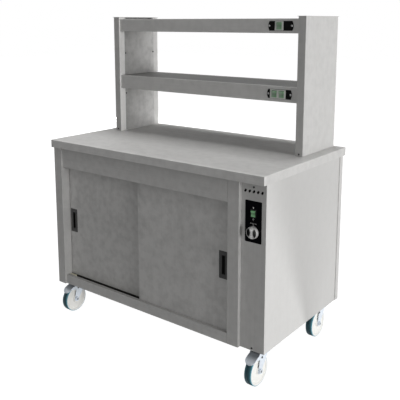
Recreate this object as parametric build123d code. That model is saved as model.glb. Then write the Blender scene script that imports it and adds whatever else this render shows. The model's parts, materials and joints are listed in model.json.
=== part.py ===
from build123d import *
import os
from math import cos, radians, sin

# A mobile hot cupboard with two sliding doors, and a two-tier heat lamp gantry on the back of its worktop.
# Millimetres. X runs along the front to the right, Y to the back, Z up from the floor. The origin is on the
# floor, under the middle of the whole object's box.

# Sheet metal
sheet = 1.5
bend = 2.0
touch_gap = 0.3
slide_gap = 1.5

# Worktop
worktop_width = 1200.0
worktop_depth = 690.0
worktop_height = 872.0
worktop_edge = 36.0
worktop_return = 5.0
overhang = 10.0
side_overhang = 7.0

# Cabinet front, from left to right and from the post's face to the back
left_post_width = 50.0
left_post_depth = 40.0
door_post_width = 55.0
door_post_lip = 10.0
control_width = 112.0
side_inset = 2.5
corner_return = 28.0
frame_recess = 8.0
fascia_recess = 24.0
sill_height = 45.0
header_drop = 94.0
panel_flange = 20.0
base_sheet = 2.0
base_upstand = 28.0

# Sliding doors
door_thickness = 16.0
door_gap = 4.0
door_setback = 17.0
door_overlap = 28.0
door_tuck = 8.0
door_lap = 18.0
door_lift = 4.0
guide_gap = 1.0
guide_lip = 14.0
groove_depth = 13.5
runner_width = 11.0
runner_height = 4.2
stop_length = 38.0
stop_height = 12.0
handle_width = 44.0
handle_height = 116.0
handle_plate = 1.0
handle_inset = 28.0
handle_rise = 3.0
slot_width = 17.0
slot_height = 80.0
cup_depth = 11.0
cup_gap = 0.2

# Heated inside
insulation = 32.0
right_insulation = 20.0
top_insulation = 40.0
base_air_gap = 10.0
liner_headroom = 14.0
support_leg = 22.0
shelf_lip = 25.0
shelf_end_gap = 2.0
support_margin = 24.0
shelf_margin = 20.0
cover_rise = 35.0
cover_margin = 15.0
cover_slot_length = 60.0
cover_slot_width = 8.0
cover_slot_columns = 8
cover_slot_rows = 3
element_radius = 4.0
element_rise = 18.0
element_pitch = 120.0
element_bend = 56.0
element_left_margin = 45.0
element_inner_margin = 75.0
element_terminal = 30.0
element_hole_gap = 0.5

# Controls
vent_count = 5
vent_pitch = 19.0
vent_length = 14.0
vent_width = 9.5
vent_lean = 40.0
vent_drop = 38.5
fascia_screw_drop = 21.0
fascia_screw_rise = 9.5
label_width = 74.0
label_height = 164.5
label_sheet = 1.2
label_drop = 156.7
label_corner = 3.0
main_switch_drop = 123.3
knob_drop = 197.5
knob_radius = 25.0
knob_face_radius = 23.5
knob_depth = 13.0
scoop_length = 34.4
scoop_width = 16.2
scoop_offset = 13.6
scoop_depth = 6.5
knob_gap = 0.6
shaft_radius = 3.0
shaft_depth = 8.5
shaft_clearance = 0.05
bush_radius = 5.0
bush_hole_gap = 1.0
thermostat_width = 40.0
thermostat_height = 34.0
thermostat_depth = 30.0
capillary_radius = 1.0
capillary_bend = 12.0
capillary_run = 50.0
bulb_radius = 3.5
bulb_length = 70.0
terminal_width = 70.0
terminal_height = 24.0
terminal_depth = 20.0
terminal_rise = 140.0
terminal_ways = 5
gland_radius = 10.0
gland_bore = 5.0
gland_hex = 27.0
gland_drop = 18.0
gland_from_fascia = 350.0
gland_from_side = 80.0

# Rocker switches
rocker_tilt = 9.0
rocker_pivot = 4.0
rocker_proud = 3.2
rocker_valley = 1.0
rocker_tail = 3.0
rocker_side_gap = 0.4
rocker_end_gap = 1.3
trunnion_radius = 1.5
trunnion_length = 0.9
trunnion_clearance = 0.05
bezel_thickness = 2.0
switch_depth = 28.0
pocket_depth = 12.0
cutout_gap = 0.2
main_rocker_width = 17.0
main_rocker_height = 23.6
main_bezel_width = 25.0
main_bezel_height = 32.5
gantry_rocker_width = 24.0
gantry_rocker_height = 28.0
gantry_bezel_width = 40.0
gantry_bezel_height = 38.0
gantry_rocker_pitch = 35.5
bezel_rim = 2.0

# Gantry
gantry_side_gap = 53.0
gantry_depth = 292.0
gantry_rear_gap = 13.0
upright_width = 36.0
upright_front_strip = 38.0
upright_rear_strip = 33.0
rebate_width = 12.0
rebate_lap = 6.0
cap_sheet = 2.0
cap_overhang = 3.0
cap_rise = 8.0
gantry_opening = 222.0
lower_shelf_height = 66.0
upper_shelf_height = 61.0
shelf_recess = 8.0
cover_clearance = 1.0
shelf_bottom_return = 60.0
shelf_end_return = 20.0
plate_width = 120.0
plate_height = 40.0
plate_bulge = 6.0
plate_sheet = 1.5
plate_from_right = 86.0
switch_offset = -7.0
plate_screw_inset = 6.0
foot_screw_rise = 9.0
cover_screw_edge = 6.0
cover_screw_drop = 29.0
reflector_depth = 44.0
reflector_lip = 12.0
reflector_slope = 38.0
reflector_sheet = 1.0
reflector_end_gap = 4.0
lamp_radius = 5.0
lamp_bore_gap = 0.1
lamp_drop = 24.0
lamp_end_margin = 20.0
lamp_hold = 16.0
holder_length = 24.0
holder_width = 26.0
holder_below = 10.0
lower_lamp_spacing = 6.0

# Screws and bolts
screw_radius = 2.0
screw_head_radius = 4.0
screw_head = 2.2
screw_length = 8.0
screw_hole_gap = 0.2
bolt_radius = 4.0
bolt_hex = 13.0
bolt_head = 5.5
bolt_nut = 6.5
bolt_tail = 1.5
bolt_hole_gap = 0.5
gantry_bolt_inset = 60.0

# Castors
castor_height = 152.0
wheel_headroom = 6.5
wheel_width = 32.0
tyre_depth = 5.0
tyre_shoulder = 3.5
web_width = 26.0
hub_radius = 15.0
hub_width = 35.0
rim_depth = 9.0
castor_trail = 42.0
castor_plate_length = 100.0
castor_plate_width = 85.0
castor_plate_sheet = 3.0
castor_bolt_x = 60.0
castor_bolt_y = 76.0
castor_front_margin = 16.0
castor_rear_margin = 26.0
castor_side_margin = 8.0
race_radius = 31.0
race_boss = 6.0
race_gap = 0.4
crown_radius = 34.0
crown_drop = 18.0
fork_sheet = 2.5
fork_gap = 36.0
fork_front = 36.0
fork_back = 26.0
fork_boss = 13.0
king_pin_radius = 7.0
king_pin_head = 11.0
king_pin_head_height = 4.5
running_clearance = 0.05
axle_radius = 6.0
axle_fit = 0.02
axle_hex = 19.0
axle_head = 6.0
brake_gap = 6.0
brake_sheet = 2.0
brake_start = 100.0
brake_end = 143.0
brake_rise = 8.0
brake_run = 6.0
brake_cheek_gap = 0.6
brake_pivot_y = 9.0
brake_pivot_drop = 6.5
brake_pin_radius = 3.0
brake_boss = 8.0

# Levels worked out from the sizes above
wheel_radius = (castor_height - crown_drop - fork_sheet - wheel_headroom) / 2
brake_pivot_z = wheel_radius - brake_pivot_drop
z_bottom = castor_height
z_top = worktop_height - sheet
z_edge = worktop_height - worktop_edge
z_sill = z_bottom + sill_height
z_header = z_edge - header_drop
z_groove = z_sill - groove_depth
z_door = z_groove + runner_height + touch_gap
z_door_top = z_header + door_lap
z_track = z_door_top + door_lift
z_liner_top = z_track + sheet + liner_headroom
z_lower_shelf = worktop_height + gantry_opening
z_lower_shelf_top = z_lower_shelf + lower_shelf_height
z_upper_shelf = z_lower_shelf_top + gantry_opening
z_upper_shelf_top = z_upper_shelf + upper_shelf_height
z_upright_top = z_upper_shelf_top + cap_rise
z_element = z_sill + element_rise
z_cover = z_sill + cover_rise
shelf_level = (z_cover + z_liner_top) / 2
handle_level = (z_sill + z_header) / 2 + handle_rise
vent_level = z_edge - vent_drop
fascia_screw_high = z_edge - fascia_screw_drop
fascia_screw_low = z_bottom + fascia_screw_rise
label_level = z_edge - label_drop
main_switch_level = z_edge - main_switch_drop
knob_level = z_edge - knob_drop
terminal_level = z_bottom + terminal_rise

# Planes across the object: the front wheels stand out past the worktop, so the worktop sits behind the origin
castor_axis_from_post = fascia_recess + castor_front_margin + castor_plate_length / 2
wheel_front = overhang + castor_axis_from_post - castor_trail - wheel_radius
y_edge_front = -worktop_depth / 2 + max(0.0, -wheel_front) / 2
y_edge_back = y_edge_front + worktop_depth
y_post = y_edge_front + overhang
y_frame = y_post + frame_recess
y_fascia = y_post + fascia_recess
y_back = y_edge_back - overhang
y_front_door = y_frame + door_setback
y_rear_door = y_front_door + door_thickness + door_gap
y_guide = y_front_door - guide_gap
y_liner = y_rear_door + door_thickness + slide_gap + sheet
y_liner_back = y_back - sheet - insulation
y_gantry_back = y_edge_back - gantry_rear_gap
y_gantry = y_gantry_back - gantry_depth
y_shelf = y_gantry + shelf_recess
y_shelf_back = y_gantry_back - shelf_recess
y_lamp = (y_gantry + y_gantry_back) / 2
y_castor_front = y_post + castor_axis_from_post
y_castor_rear = y_back - castor_rear_margin - castor_plate_length / 2

# Planes along the object
x_left = -worktop_width / 2 + side_overhang
x_right = worktop_width / 2 - side_overhang
x_side_left = x_left + side_inset
x_side_right = x_right - side_inset
x_jamb = x_left + left_post_width
x_fascia = x_side_right - control_width
x_opening = x_fascia - door_post_width
x_door_left = x_jamb + slide_gap
x_door_right = x_opening + door_tuck
x_liner_right = x_door_right + slide_gap
door_width = (x_door_right - x_door_left + door_overlap) / 2
x_control = (x_fascia + x_side_right - sheet) / 2
x_upright = worktop_width / 2 - gantry_side_gap
x_shelf_end = x_upright - upright_width
x_castor = x_side_right - castor_side_margin - castor_plate_width / 2
x_switch_plate = x_shelf_end - plate_from_right


def block(x0, x1, y0, y1, z0, z1):
    """A box between two corners."""
    return Pos((x0 + x1) / 2, (y0 + y1) / 2, (z0 + z1) / 2) * Box(x1 - x0, y1 - y0, z1 - z0)


def rod_x(x0, x1, y, z, radius):
    return Pos((x0 + x1) / 2, y, z) * Rot(0, 90, 0) * Cylinder(radius, x1 - x0)


def rod_y(x, y0, y1, z, radius):
    return Pos(x, (y0 + y1) / 2, z) * Rot(90, 0, 0) * Cylinder(radius, y1 - y0)


def rod_z(x, y, z0, z1, radius):
    return Pos(x, y, (z0 + z1) / 2) * Cylinder(radius, z1 - z0)


def outline(*points):
    """A flat face inside a closed row of straight edges."""
    return make_face(Polyline(*points, close=True))


def prism_x(face, x0, x1):
    """A solid whose outline lies in Y and Z."""
    return Pos(x0, 0, 0) * extrude(Plane.YZ * face, amount=x1 - x0)


def prism_y(face, y0, y1):
    """A solid whose outline lies in X and Z."""
    return Pos(0, y1, 0) * extrude(Plane.XZ * face, amount=y1 - y0)


def hexagon(across, height):
    """A hexagonal head that stands on the XY plane."""
    return extrude(RegularPolygon(across / 2, 6, major_radius=False), amount=height)


def group(solids):
    return Compound(children=list(solids))


def save(name, shape):
    export_step(shape, f"parts/{name}.step")


def mirrored(shape):
    return mirror(shape, about=Plane.YZ)


# Places of the screws, each with the way its head faces
LEFT, RIGHT, FRONT = (-1, 0, 0), (1, 0, 0), (0, -1, 0)
z_upper_mid = (z_lower_shelf_top + z_upper_shelf) / 2
z_lower_pair = z_lower_shelf - cover_screw_drop
y_cover_front = y_gantry + upright_front_strip
y_cover_back = y_gantry_back - upright_rear_strip
z_upper_plate = (z_upper_shelf + z_upper_shelf_top) / 2
z_lower_plate = (z_lower_shelf + z_lower_shelf_top) / 2
fascia_screws = [((x_control, y_fascia, z), FRONT) for z in (fascia_screw_low, fascia_screw_high)]
cover_screws = [
    ((side * x_shelf_end, y, z), LEFT if side > 0 else RIGHT)
    for side in (-1, 1)
    for y in (y_cover_front + cover_screw_edge, y_cover_back - cover_screw_edge)
    for z in (z_lower_pair, z_upper_mid)
]
plate_screws = [
    ((x_switch_plate + side * (plate_width / 2 - plate_screw_inset), y_shelf - plate_sheet, z), FRONT)
    for side in (-1, 1)
    for z in (z_lower_plate, z_upper_plate)
]
foot_screws = [
    ((side * (x_upright - upright_width / 2), y_gantry, worktop_height + foot_screw_rise), FRONT)
    for side in (-1, 1)
]

# Places of the bolts
castor_places = {
    "front_left": (-x_castor, y_castor_front),
    "front_right": (x_castor, y_castor_front),
    "rear_left": (-x_castor, y_castor_rear),
    "rear_right": (x_castor, y_castor_rear),
}
castor_bolts = [
    (x + i * castor_bolt_x / 2, y + j * castor_bolt_y / 2)
    for x, y in castor_places.values()
    for i in (-1, 1)
    for j in (-1, 1)
]
gantry_bolts = [
    (side * (x_upright - upright_width / 2), y)
    for side in (-1, 1)
    for y in (y_gantry + gantry_bolt_inset, y_gantry_back - gantry_bolt_inset)
]


def screw(place, facing):
    """A pan-head screw seated at a place, with its head facing outwards."""
    head = Pos(0, 0, screw_head / 2) * Cylinder(screw_head_radius, screw_head)
    head = fillet(head.edges().sort_by(Axis.Z)[-1], screw_head / 2)
    shank = Pos(0, 0, -screw_length / 2) * Cylinder(screw_radius, screw_length)
    return Plane(origin=place, z_dir=facing) * (head + shank)


def drills(screws):
    """The clearance holes of a row of screws."""
    radius = screw_radius + screw_hole_gap
    hole = Pos(0, 0, -screw_length / 2) * Cylinder(radius, 2 * screw_length)
    return [Plane(origin=place, z_dir=facing) * hole for place, facing in screws]


def bolt(x, y, z, grip):
    """A hexagon bolt pushed up from below, with its nut drawn down on what it grips."""
    head = Pos(x, y, z - bolt_head) * hexagon(bolt_hex, bolt_head)
    nut = Pos(x, y, z + grip) * hexagon(bolt_hex, bolt_nut)
    return head + nut + rod_z(x, y, z, z + grip + bolt_nut + bolt_tail, bolt_radius)


def bolt_holes(places, z0, z1):
    return [rod_z(x, y, z0, z1, bolt_radius + bolt_hole_gap) for x, y in places]


# Worktop and cabinet panels


def worktop():
    half = worktop_width / 2
    slab = block(-half, half, y_edge_front, y_edge_back, z_edge, worktop_height)
    rim = slab.faces().sort_by(Axis.Z)[-1].edges() + slab.edges().filter_by(Axis.Z)
    slab = fillet(rim, bend)
    slab -= block(
        -half + sheet, half - sheet, y_edge_front + sheet, y_edge_back - sheet, z_edge + sheet, z_top
    )
    lip = sheet + worktop_return
    slab -= block(-half + lip, half - lip, y_edge_front + lip, y_edge_back - lip, z_edge - sheet, z_top)
    return slab - bolt_holes(gantry_bolts, z_top - sheet, worktop_height + sheet)


def side_panel(y_start, z_end):
    """The right side panel: a sheet with a flange at its top and one behind its front edge, up to z_end."""
    inner = x_side_right - sheet
    panel = block(inner, x_side_right, y_start, y_back - sheet, z_bottom, z_top)
    panel += block(inner - panel_flange, inner, y_start + sheet, y_back - sheet, z_top - sheet, z_top)
    z_flange = z_bottom + base_sheet + base_upstand
    panel += block(inner - panel_flange, inner, y_start + sheet, y_start + 2 * sheet, z_flange, z_end)
    return panel


def back_panel():
    """The back sheet, folded round both rear corners as far as the side panels."""
    panel = block(x_left, x_right, y_back - sheet, y_back, z_bottom, z_top)
    y0 = y_back - corner_return
    for corner in (x_left, x_right):
        inward = 1 if corner < 0 else -1
        outer = sorted((corner, corner + inward * sheet))
        step = sorted((corner, corner + inward * side_inset))
        panel += block(*outer, y0, y_back, z_bottom, z_top)
        panel += block(*step, y0, y0 + sheet, z_bottom, z_top)
    return panel


def left_front_post():
    """A folded channel: its front face, the side that turns back to the panel, and the door jamb."""
    y_side = y_post + left_post_depth
    post = block(x_left, x_jamb, y_post, y_side, z_bottom, z_top)
    front_edges = post.edges().filter_by(Axis.Z).sort_by(Axis.Y)[:2]
    post = fillet(front_edges, bend)
    post -= block(
        x_left + sheet, x_jamb - sheet, y_post + sheet, y_side - sheet, z_bottom - sheet, z_top + sheet
    )
    post -= block(
        x_side_left + sheet - touch_gap, x_jamb - sheet, y_side - sheet, y_side, z_bottom - sheet, z_top
    )
    post += block(x_jamb - sheet, x_jamb, y_side - sheet, y_liner, z_bottom, z_top)
    y_pan = y_frame + sheet
    z_pan = z_bottom + base_sheet
    return post - block(x_side_left + sheet, x_jamb + sheet, y_pan, y_liner + sheet, z_bottom - sheet, z_pan)


def door_post():
    """The post between the doors and the controls, with a short lip and a deep return to the fascia."""
    y_return = y_fascia + sheet
    post = block(x_opening, x_fascia, y_frame, y_return, z_bottom, z_top)
    post = fillet(post.edges().filter_by(Axis.Z).sort_by(Axis.Y)[:2], bend)
    post -= block(
        x_opening + sheet, x_fascia - sheet, y_frame + sheet, y_return, z_bottom - sheet, z_top + sheet
    )
    post -= block(
        x_opening, x_opening + sheet, y_frame + door_post_lip, y_return, z_bottom - sheet, z_top + sheet
    )
    return post - block(
        x_opening, x_opening + sheet, y_frame + sheet, y_return, z_bottom, z_bottom + base_sheet
    )


def guide_walls(z0, z1):
    """The walls between and behind the two door tracks."""
    y_between = y_rear_door - (door_gap + sheet) / 2
    walls = block(x_jamb, x_liner_right, y_between, y_between + sheet, z0, z1)
    return walls + block(x_jamb, x_liner_right, y_liner - sheet, y_liner, z0, z1)


def door_header():
    """The fascia over the doors, folded back into the two upper door tracks."""
    header = block(x_jamb, x_opening, y_frame, y_frame + sheet, z_header, z_top)
    header += block(x_jamb, x_opening, y_frame, y_guide, z_header, z_header + sheet)
    header += block(x_jamb, x_opening, y_guide - sheet, y_guide, z_header, z_header + guide_lip)
    header += block(x_jamb, x_opening, y_frame, y_liner, z_track, z_track + sheet)
    header += block(x_opening, x_liner_right, y_guide, y_liner, z_track, z_track + sheet)
    header += guide_walls(z_track - guide_lip, z_track + sheet)
    return header + block(x_jamb, x_liner_right, y_liner - sheet, y_liner, z_track, z_liner_top)


def sill():
    """The bottom rail: a front face, a ledge, and two grooves that the doors run in."""
    rail = block(x_jamb, x_opening, y_frame, y_frame + sheet, z_bottom, z_sill)
    rail += block(x_jamb, x_opening, y_frame, y_guide, z_sill - sheet, z_sill)
    rail += block(x_jamb, x_opening, y_guide - sheet, y_guide, z_groove - sheet, z_sill)
    rail += block(x_jamb, x_liner_right, y_guide, y_liner, z_groove - sheet, z_groove)
    return rail + guide_walls(z_groove, z_sill)


def base_pan():
    """The floor of the carcass, notched behind the fascia, with upstands against the panels."""
    x0, x1 = x_side_left + sheet, x_side_right - sheet
    y1 = y_back - sheet
    z1 = z_bottom + base_sheet
    z2 = z1 + base_upstand
    pan = block(x0, x_fascia - sheet, y_frame + sheet, y1, z_bottom, z1)
    pan += block(x_fascia - sheet, x1, y_fascia + sheet, y1, z_bottom, z1)
    pan += block(x0, x0 + base_sheet, y_post + left_post_depth, y1, z_bottom, z2)
    pan += block(x1 - base_sheet, x1, y_fascia + sheet, y1, z_bottom, z2)
    pan += block(x0, x1, y1 - base_sheet, y1, z_bottom, z2)
    pan -= bolt_holes(castor_bolts, z_bottom - sheet, z1 + sheet)
    return pan - rod_z(*gland_place, z_bottom - sheet, z1 + sheet, gland_radius + cutout_gap)


# Sliding doors


def door_skin(x0, y0, x_handle):
    """The outer pan of a door, with an opening for its flush pull."""
    x1 = x0 + door_width
    y1 = y0 + door_thickness - sheet
    pan = block(x0, x1, y0, y1, z_door, z_door_top)
    pan -= block(x0 + sheet, x1 - sheet, y0 + sheet, y1, z_door + sheet, z_door_top - sheet)
    wide = slot_width / 2 + sheet + cup_gap
    tall = slot_height / 2 + sheet + cup_gap
    return pan - block(
        x_handle - wide, x_handle + wide, y0 - sheet, y0 + 2 * sheet, handle_level - tall, handle_level + tall
    )


def door_inner_skin(x0, y0):
    y1 = y0 + door_thickness
    return block(x0, x0 + door_width, y1 - sheet, y1, z_door, z_door_top)


def door_handle(x, y0):
    """A flush pull: a thin plate on the door's face with a cup let into the door."""
    wide, tall = handle_width / 2, handle_height / 2
    plate = block(x - wide, x + wide, y0 - handle_plate, y0, handle_level - tall, handle_level + tall)
    plate = fillet(plate.edges().filter_by(Axis.Y), bend)
    wide, tall = slot_width / 2, slot_height / 2
    z0, z1 = handle_level - tall, handle_level + tall
    cup = block(x - wide - sheet, x + wide + sheet, y0, y0 + cup_depth, z0 - sheet, z1 + sheet)
    return plate + cup - block(x - wide, x + wide, y0 - 2 * handle_plate, y0 + cup_depth - sheet, z0, z1)


def door_runners():
    """Two nylon strips that the doors slide on, and a stop block in the far end of each groove."""
    pieces = []
    for y_door, x_stop in ((y_front_door, x_door_left), (y_rear_door, x_door_right - stop_length)):
        y0 = y_door + (door_thickness - runner_width) / 2
        y1 = y0 + runner_width
        x0, x1 = x_door_left, x_door_right
        if x_stop > x0:
            x1 = x_stop
        else:
            x0 = x_stop + stop_length
        pieces.append(block(x0, x1, y0, y1, z_groove, z_groove + runner_height))
        pieces.append(block(x_stop, x_stop + stop_length, y0, y1, z_groove, z_groove + stop_height))
    return group(pieces)


# Heated inside


y_element_mid = (y_liner + y_liner_back) / 2
element_rows = [y_element_mid + (i - 1.5) * element_pitch for i in range(4)]
x_element_left = x_jamb + element_left_margin
x_element_inner = x_liner_right - element_inner_margin
x_element_end = x_liner_right + sheet + element_terminal
y_thermostat = y_fascia + sheet
y_capillary = y_thermostat + thermostat_depth + capillary_run
x_bulb = x_liner_right + sheet + bulb_radius + cutout_gap
y_bulb = y_capillary + capillary_run
gland_place = (x_side_right - gland_from_side, y_fascia + gland_from_fascia)


def element_holes(x0, x1, rows):
    return [rod_x(x0, x1, y, z_element, element_radius + element_hole_gap) for y in rows]


def cabinet_liner():
    """The inner box, open at the front, with holes for the element's ends."""
    x1 = x_liner_right + sheet
    box = block(x_jamb, x1, y_liner, y_liner_back, z_sill - sheet, z_liner_top)
    box -= block(
        x_jamb + sheet, x_liner_right, y_liner - sheet, y_liner_back - sheet, z_sill, z_liner_top - sheet
    )
    return box - element_holes(x_liner_right - sheet, x1 + sheet, (element_rows[0], element_rows[-1]))


def element_cover():
    """The cupboard's slotted false floor, on ribs that also carry the element."""
    x0, x1 = x_jamb + sheet + cover_margin, x_liner_right - cover_margin
    y0, y1 = y_liner + cover_margin, y_liner_back - sheet - cover_margin
    cover = block(x0, x1, y0, y1, z_cover - sheet, z_cover)
    third = (x1 - x0) / 3
    for x in (x0, x0 + third, x0 + 2 * third, x1 - sheet):
        rib = block(x, x + sheet, y0, y1, z_sill, z_cover)
        cover += rib - element_holes(x - sheet, x + 2 * sheet, element_rows)
    column = (x1 - x0) / cover_slot_columns
    row = (y1 - y0) / (cover_slot_rows + 1)
    for i in range(cover_slot_columns):
        for j in range(cover_slot_rows):
            slot = Pos(x0 + (i + 0.5) * column, y0 + (j + 1) * row, z_cover - sheet / 2)
            cover -= slot * Box(cover_slot_length, cover_slot_width, 3 * sheet)
    return cover


def heating_element():
    """A sheathed tube in four runs under the false floor, with both ends in the control space."""
    y0, y1, y2, y3 = element_rows
    points = [
        (x_element_end, y0, z_element),
        (x_element_left, y0, z_element),
        (x_element_left, y1, z_element),
        (x_element_inner, y1, z_element),
        (x_element_inner, y2, z_element),
        (x_element_left, y2, z_element),
        (x_element_left, y3, z_element),
        (x_element_end, y3, z_element),
    ]
    path = FilletPolyline(*points, radius=element_bend)
    return sweep(Plane(origin=points[0], z_dir=(-1, 0, 0)) * Circle(element_radius), path=path)


def shelf_supports():
    """Two angles on the liner's side walls, which the middle shelf lies on."""
    y0, y1 = y_liner + support_margin, y_liner_back - sheet - support_margin
    supports = []
    for wall, inward in ((x_jamb + sheet, 1), (x_liner_right, -1)):
        upright = sorted((wall, wall + inward * sheet))
        ledge = sorted((wall, wall + inward * support_leg))
        angle = block(*upright, y0, y1, shelf_level - support_leg, shelf_level)
        supports.append(angle + block(*ledge, y0, y1, shelf_level - sheet, shelf_level))
    return group(supports)


def middle_shelf():
    """A loose shelf with turned-down front and back edges."""
    x0, x1 = x_jamb + sheet + shelf_end_gap, x_liner_right - shelf_end_gap
    y0, y1 = y_liner + shelf_margin, y_liner_back - sheet - shelf_margin
    z1 = shelf_level + sheet
    z0 = z1 - shelf_lip
    shelf = block(x0, x1, y0, y1, shelf_level, z1)
    shelf += block(x0 + support_leg, x1 - support_leg, y0, y0 + sheet, z0, z1)
    return shelf + block(x0 + support_leg, x1 - support_leg, y1 - sheet, y1, z0, z1)


def insulation_slabs():
    """Mineral wool between the liner and the outer panels, with ways for the element and the bulb."""
    x1 = x_liner_right + sheet
    x2 = x1 + right_insulation
    left = block(x_side_left + sheet, x_jamb, y_liner, y_liner_back, z_sill, z_liner_top)
    back = block(x_jamb, x1, y_liner_back, y_back - sheet, z_sill, z_liner_top)
    top = block(x_jamb, x1, y_liner, y_liner_back, z_liner_top, z_liner_top + top_insulation)
    z_base = z_bottom + base_sheet + base_air_gap
    base = block(x_jamb, x1, y_liner, y_liner_back, z_base, z_sill - sheet)
    right = block(x1, x2, y_liner, y_liner_back, z_sill, z_liner_top)
    right -= element_holes(x1 - sheet, x2 + sheet, (element_rows[0], element_rows[-1]))
    room = 2 * bulb_radius + 2 * cutout_gap
    y_end = y_bulb + bulb_length + capillary_bend
    y_way = y_capillary - capillary_bend
    right -= block(x1, x1 + room, y_way, y_end, knob_level - room, knob_level + room)
    right -= block(x1, x2, y_way, y_capillary + capillary_bend, knob_level - room, knob_level + room)
    return group((left, back, top, base, right))


# Controls


def switch_cutout(x, z, width, height, y0, y1):
    """The opening that a switch body passes through."""
    wide = width / 2 - bezel_rim + cutout_gap
    tall = height / 2 - bezel_rim + cutout_gap
    return block(x - wide, x + wide, y0, y1, z - tall, z + tall)


def switch_body(x, z, y_face, bezel_width, bezel_height, rockers, rocker_width, rocker_height):
    """A switch housing with a rim on the panel's face and an open pocket for each rocker."""
    wide, tall = bezel_width / 2, bezel_height / 2
    rim = block(x - wide, x + wide, y_face - bezel_thickness, y_face, z - tall, z + tall)
    rim = fillet(rim.edges().filter_by(Axis.Y), bend)
    wide, tall = wide - bezel_rim, tall - bezel_rim
    body = rim + block(x - wide, x + wide, y_face, y_face + switch_depth, z - tall, z + tall)
    y_rim = y_face - bezel_thickness
    for x_rocker in rockers:
        wide = rocker_width / 2 + rocker_side_gap
        tall = rocker_height / 2 + rocker_end_gap
        body -= block(
            x_rocker - wide, x_rocker + wide, y_rim - sheet, y_rim + pocket_depth, z - tall, z + tall
        )
        reach = wide + trunnion_length
        radius = trunnion_radius + trunnion_clearance
        body -= rod_x(x_rocker - reach, x_rocker + reach, y_rim + rocker_pivot, z, radius)
    return body


def rocker(x, z, y_face, width, height):
    """A rocker tilted to its off side, on two short trunnions."""
    end = height / 2
    y_rim = y_face - bezel_thickness
    face = outline(
        (-rocker_proud, end),
        (-rocker_valley, 0),
        (-rocker_proud, -end),
        (rocker_pivot - 1, -end),
        (rocker_pivot + rocker_tail, -end / 2),
        (rocker_pivot + rocker_tail, end / 2),
        (rocker_pivot - 1, end),
    )
    body = prism_x(face, -width / 2, width / 2)
    reach = width / 2 + rocker_side_gap + trunnion_length / 2
    body += rod_x(-reach, reach, rocker_pivot, 0, trunnion_radius)
    tilted = Pos(0, rocker_pivot, 0) * Rot(rocker_tilt, 0, 0) * Pos(0, -rocker_pivot, 0) * body
    return Pos(x, y_rim, z) * tilted


main_switch = (x_control, main_switch_level, y_fascia - label_sheet)
y_plate = y_shelf - plate_sheet
x_gantry_switch = x_switch_plate + switch_offset
lower_rockers = [x_gantry_switch - gantry_rocker_pitch / 2, x_gantry_switch + gantry_rocker_pitch / 2]
lower_bezel_width = gantry_bezel_width + gantry_rocker_pitch


def switch_bodies():
    main_size = (main_bezel_width, main_bezel_height)
    main_rocker = (main_rocker_width, main_rocker_height)
    gantry_rocker = (gantry_rocker_width, gantry_rocker_height)
    upper_switch = (x_gantry_switch, z_upper_plate, y_plate, gantry_bezel_width, gantry_bezel_height)
    lower_switch = (x_gantry_switch, z_lower_plate, y_plate, lower_bezel_width, gantry_bezel_height)
    return group(
        (
            switch_body(*main_switch, *main_size, [x_control], *main_rocker),
            switch_body(*upper_switch, [x_gantry_switch], *gantry_rocker),
            switch_body(*lower_switch, lower_rockers, *gantry_rocker),
        )
    )


def control_fascia():
    """The front of the control space: slanted vents, switch opening, spindle hole and two screws."""
    x1 = x_side_right - sheet
    fascia = block(x_fascia, x1, y_fascia, y_fascia + sheet, z_bottom, z_top)
    vent = prism_y(
        SlotOverall(vent_length, vent_width, 90 - vent_lean), y_fascia - sheet, y_fascia + 2 * sheet
    )
    for i in range(vent_count):
        fascia -= Pos(x_control + (i - (vent_count - 1) / 2) * vent_pitch, 0, vent_level) * vent
    opening = (x_control, main_switch_level, main_bezel_width, main_bezel_height)
    fascia -= switch_cutout(*opening, y_fascia - sheet, y_fascia + 2 * sheet)
    hole = bush_radius + bush_hole_gap
    fascia -= rod_y(x_control, y_fascia - sheet, y_fascia + 2 * sheet, knob_level, hole)
    return fascia - drills(fascia_screws)


def control_label_plate():
    """A thin black plate behind the switch and the knob."""
    y0 = y_fascia - label_sheet
    wide, tall = label_width / 2, label_height / 2
    plate = block(x_control - wide, x_control + wide, y0, y_fascia, label_level - tall, label_level + tall)
    plate = fillet(plate.edges().filter_by(Axis.Y), label_corner)
    opening = (x_control, main_switch_level, main_bezel_width, main_bezel_height)
    plate -= switch_cutout(*opening, y0 - sheet, y_fascia + sheet)
    return plate - rod_y(x_control, y0 - sheet, y_fascia + sheet, knob_level, bush_radius + bush_hole_gap)


def thermostat():
    """The thermostat's body, bush and spindle, with its capillary and the bulb on the liner's wall."""
    wide, tall = thermostat_width / 2, thermostat_height / 2
    y1 = y_thermostat + thermostat_depth
    body = block(x_control - wide, x_control + wide, y_thermostat, y1, knob_level - tall, knob_level + tall)
    body += rod_y(x_control, y_fascia - label_sheet, y_thermostat, knob_level, bush_radius)
    y_tip = y_fascia - label_sheet - knob_gap - shaft_depth + 2 * knob_gap
    body += rod_y(x_control, y_tip, y_thermostat, knob_level, shaft_radius)
    points = [
        (x_control, y1 - sheet, knob_level),
        (x_control, y_capillary, knob_level),
        (x_bulb, y_capillary, knob_level),
        (x_bulb, y_bulb + sheet, knob_level),
    ]
    path = FilletPolyline(*points, radius=capillary_bend)
    tube = sweep(Plane(origin=points[0], z_dir=(0, 1, 0)) * Circle(capillary_radius), path=path)
    return body + tube + rod_y(x_bulb, y_bulb, y_bulb + bulb_length, knob_level, bulb_radius)


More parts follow.
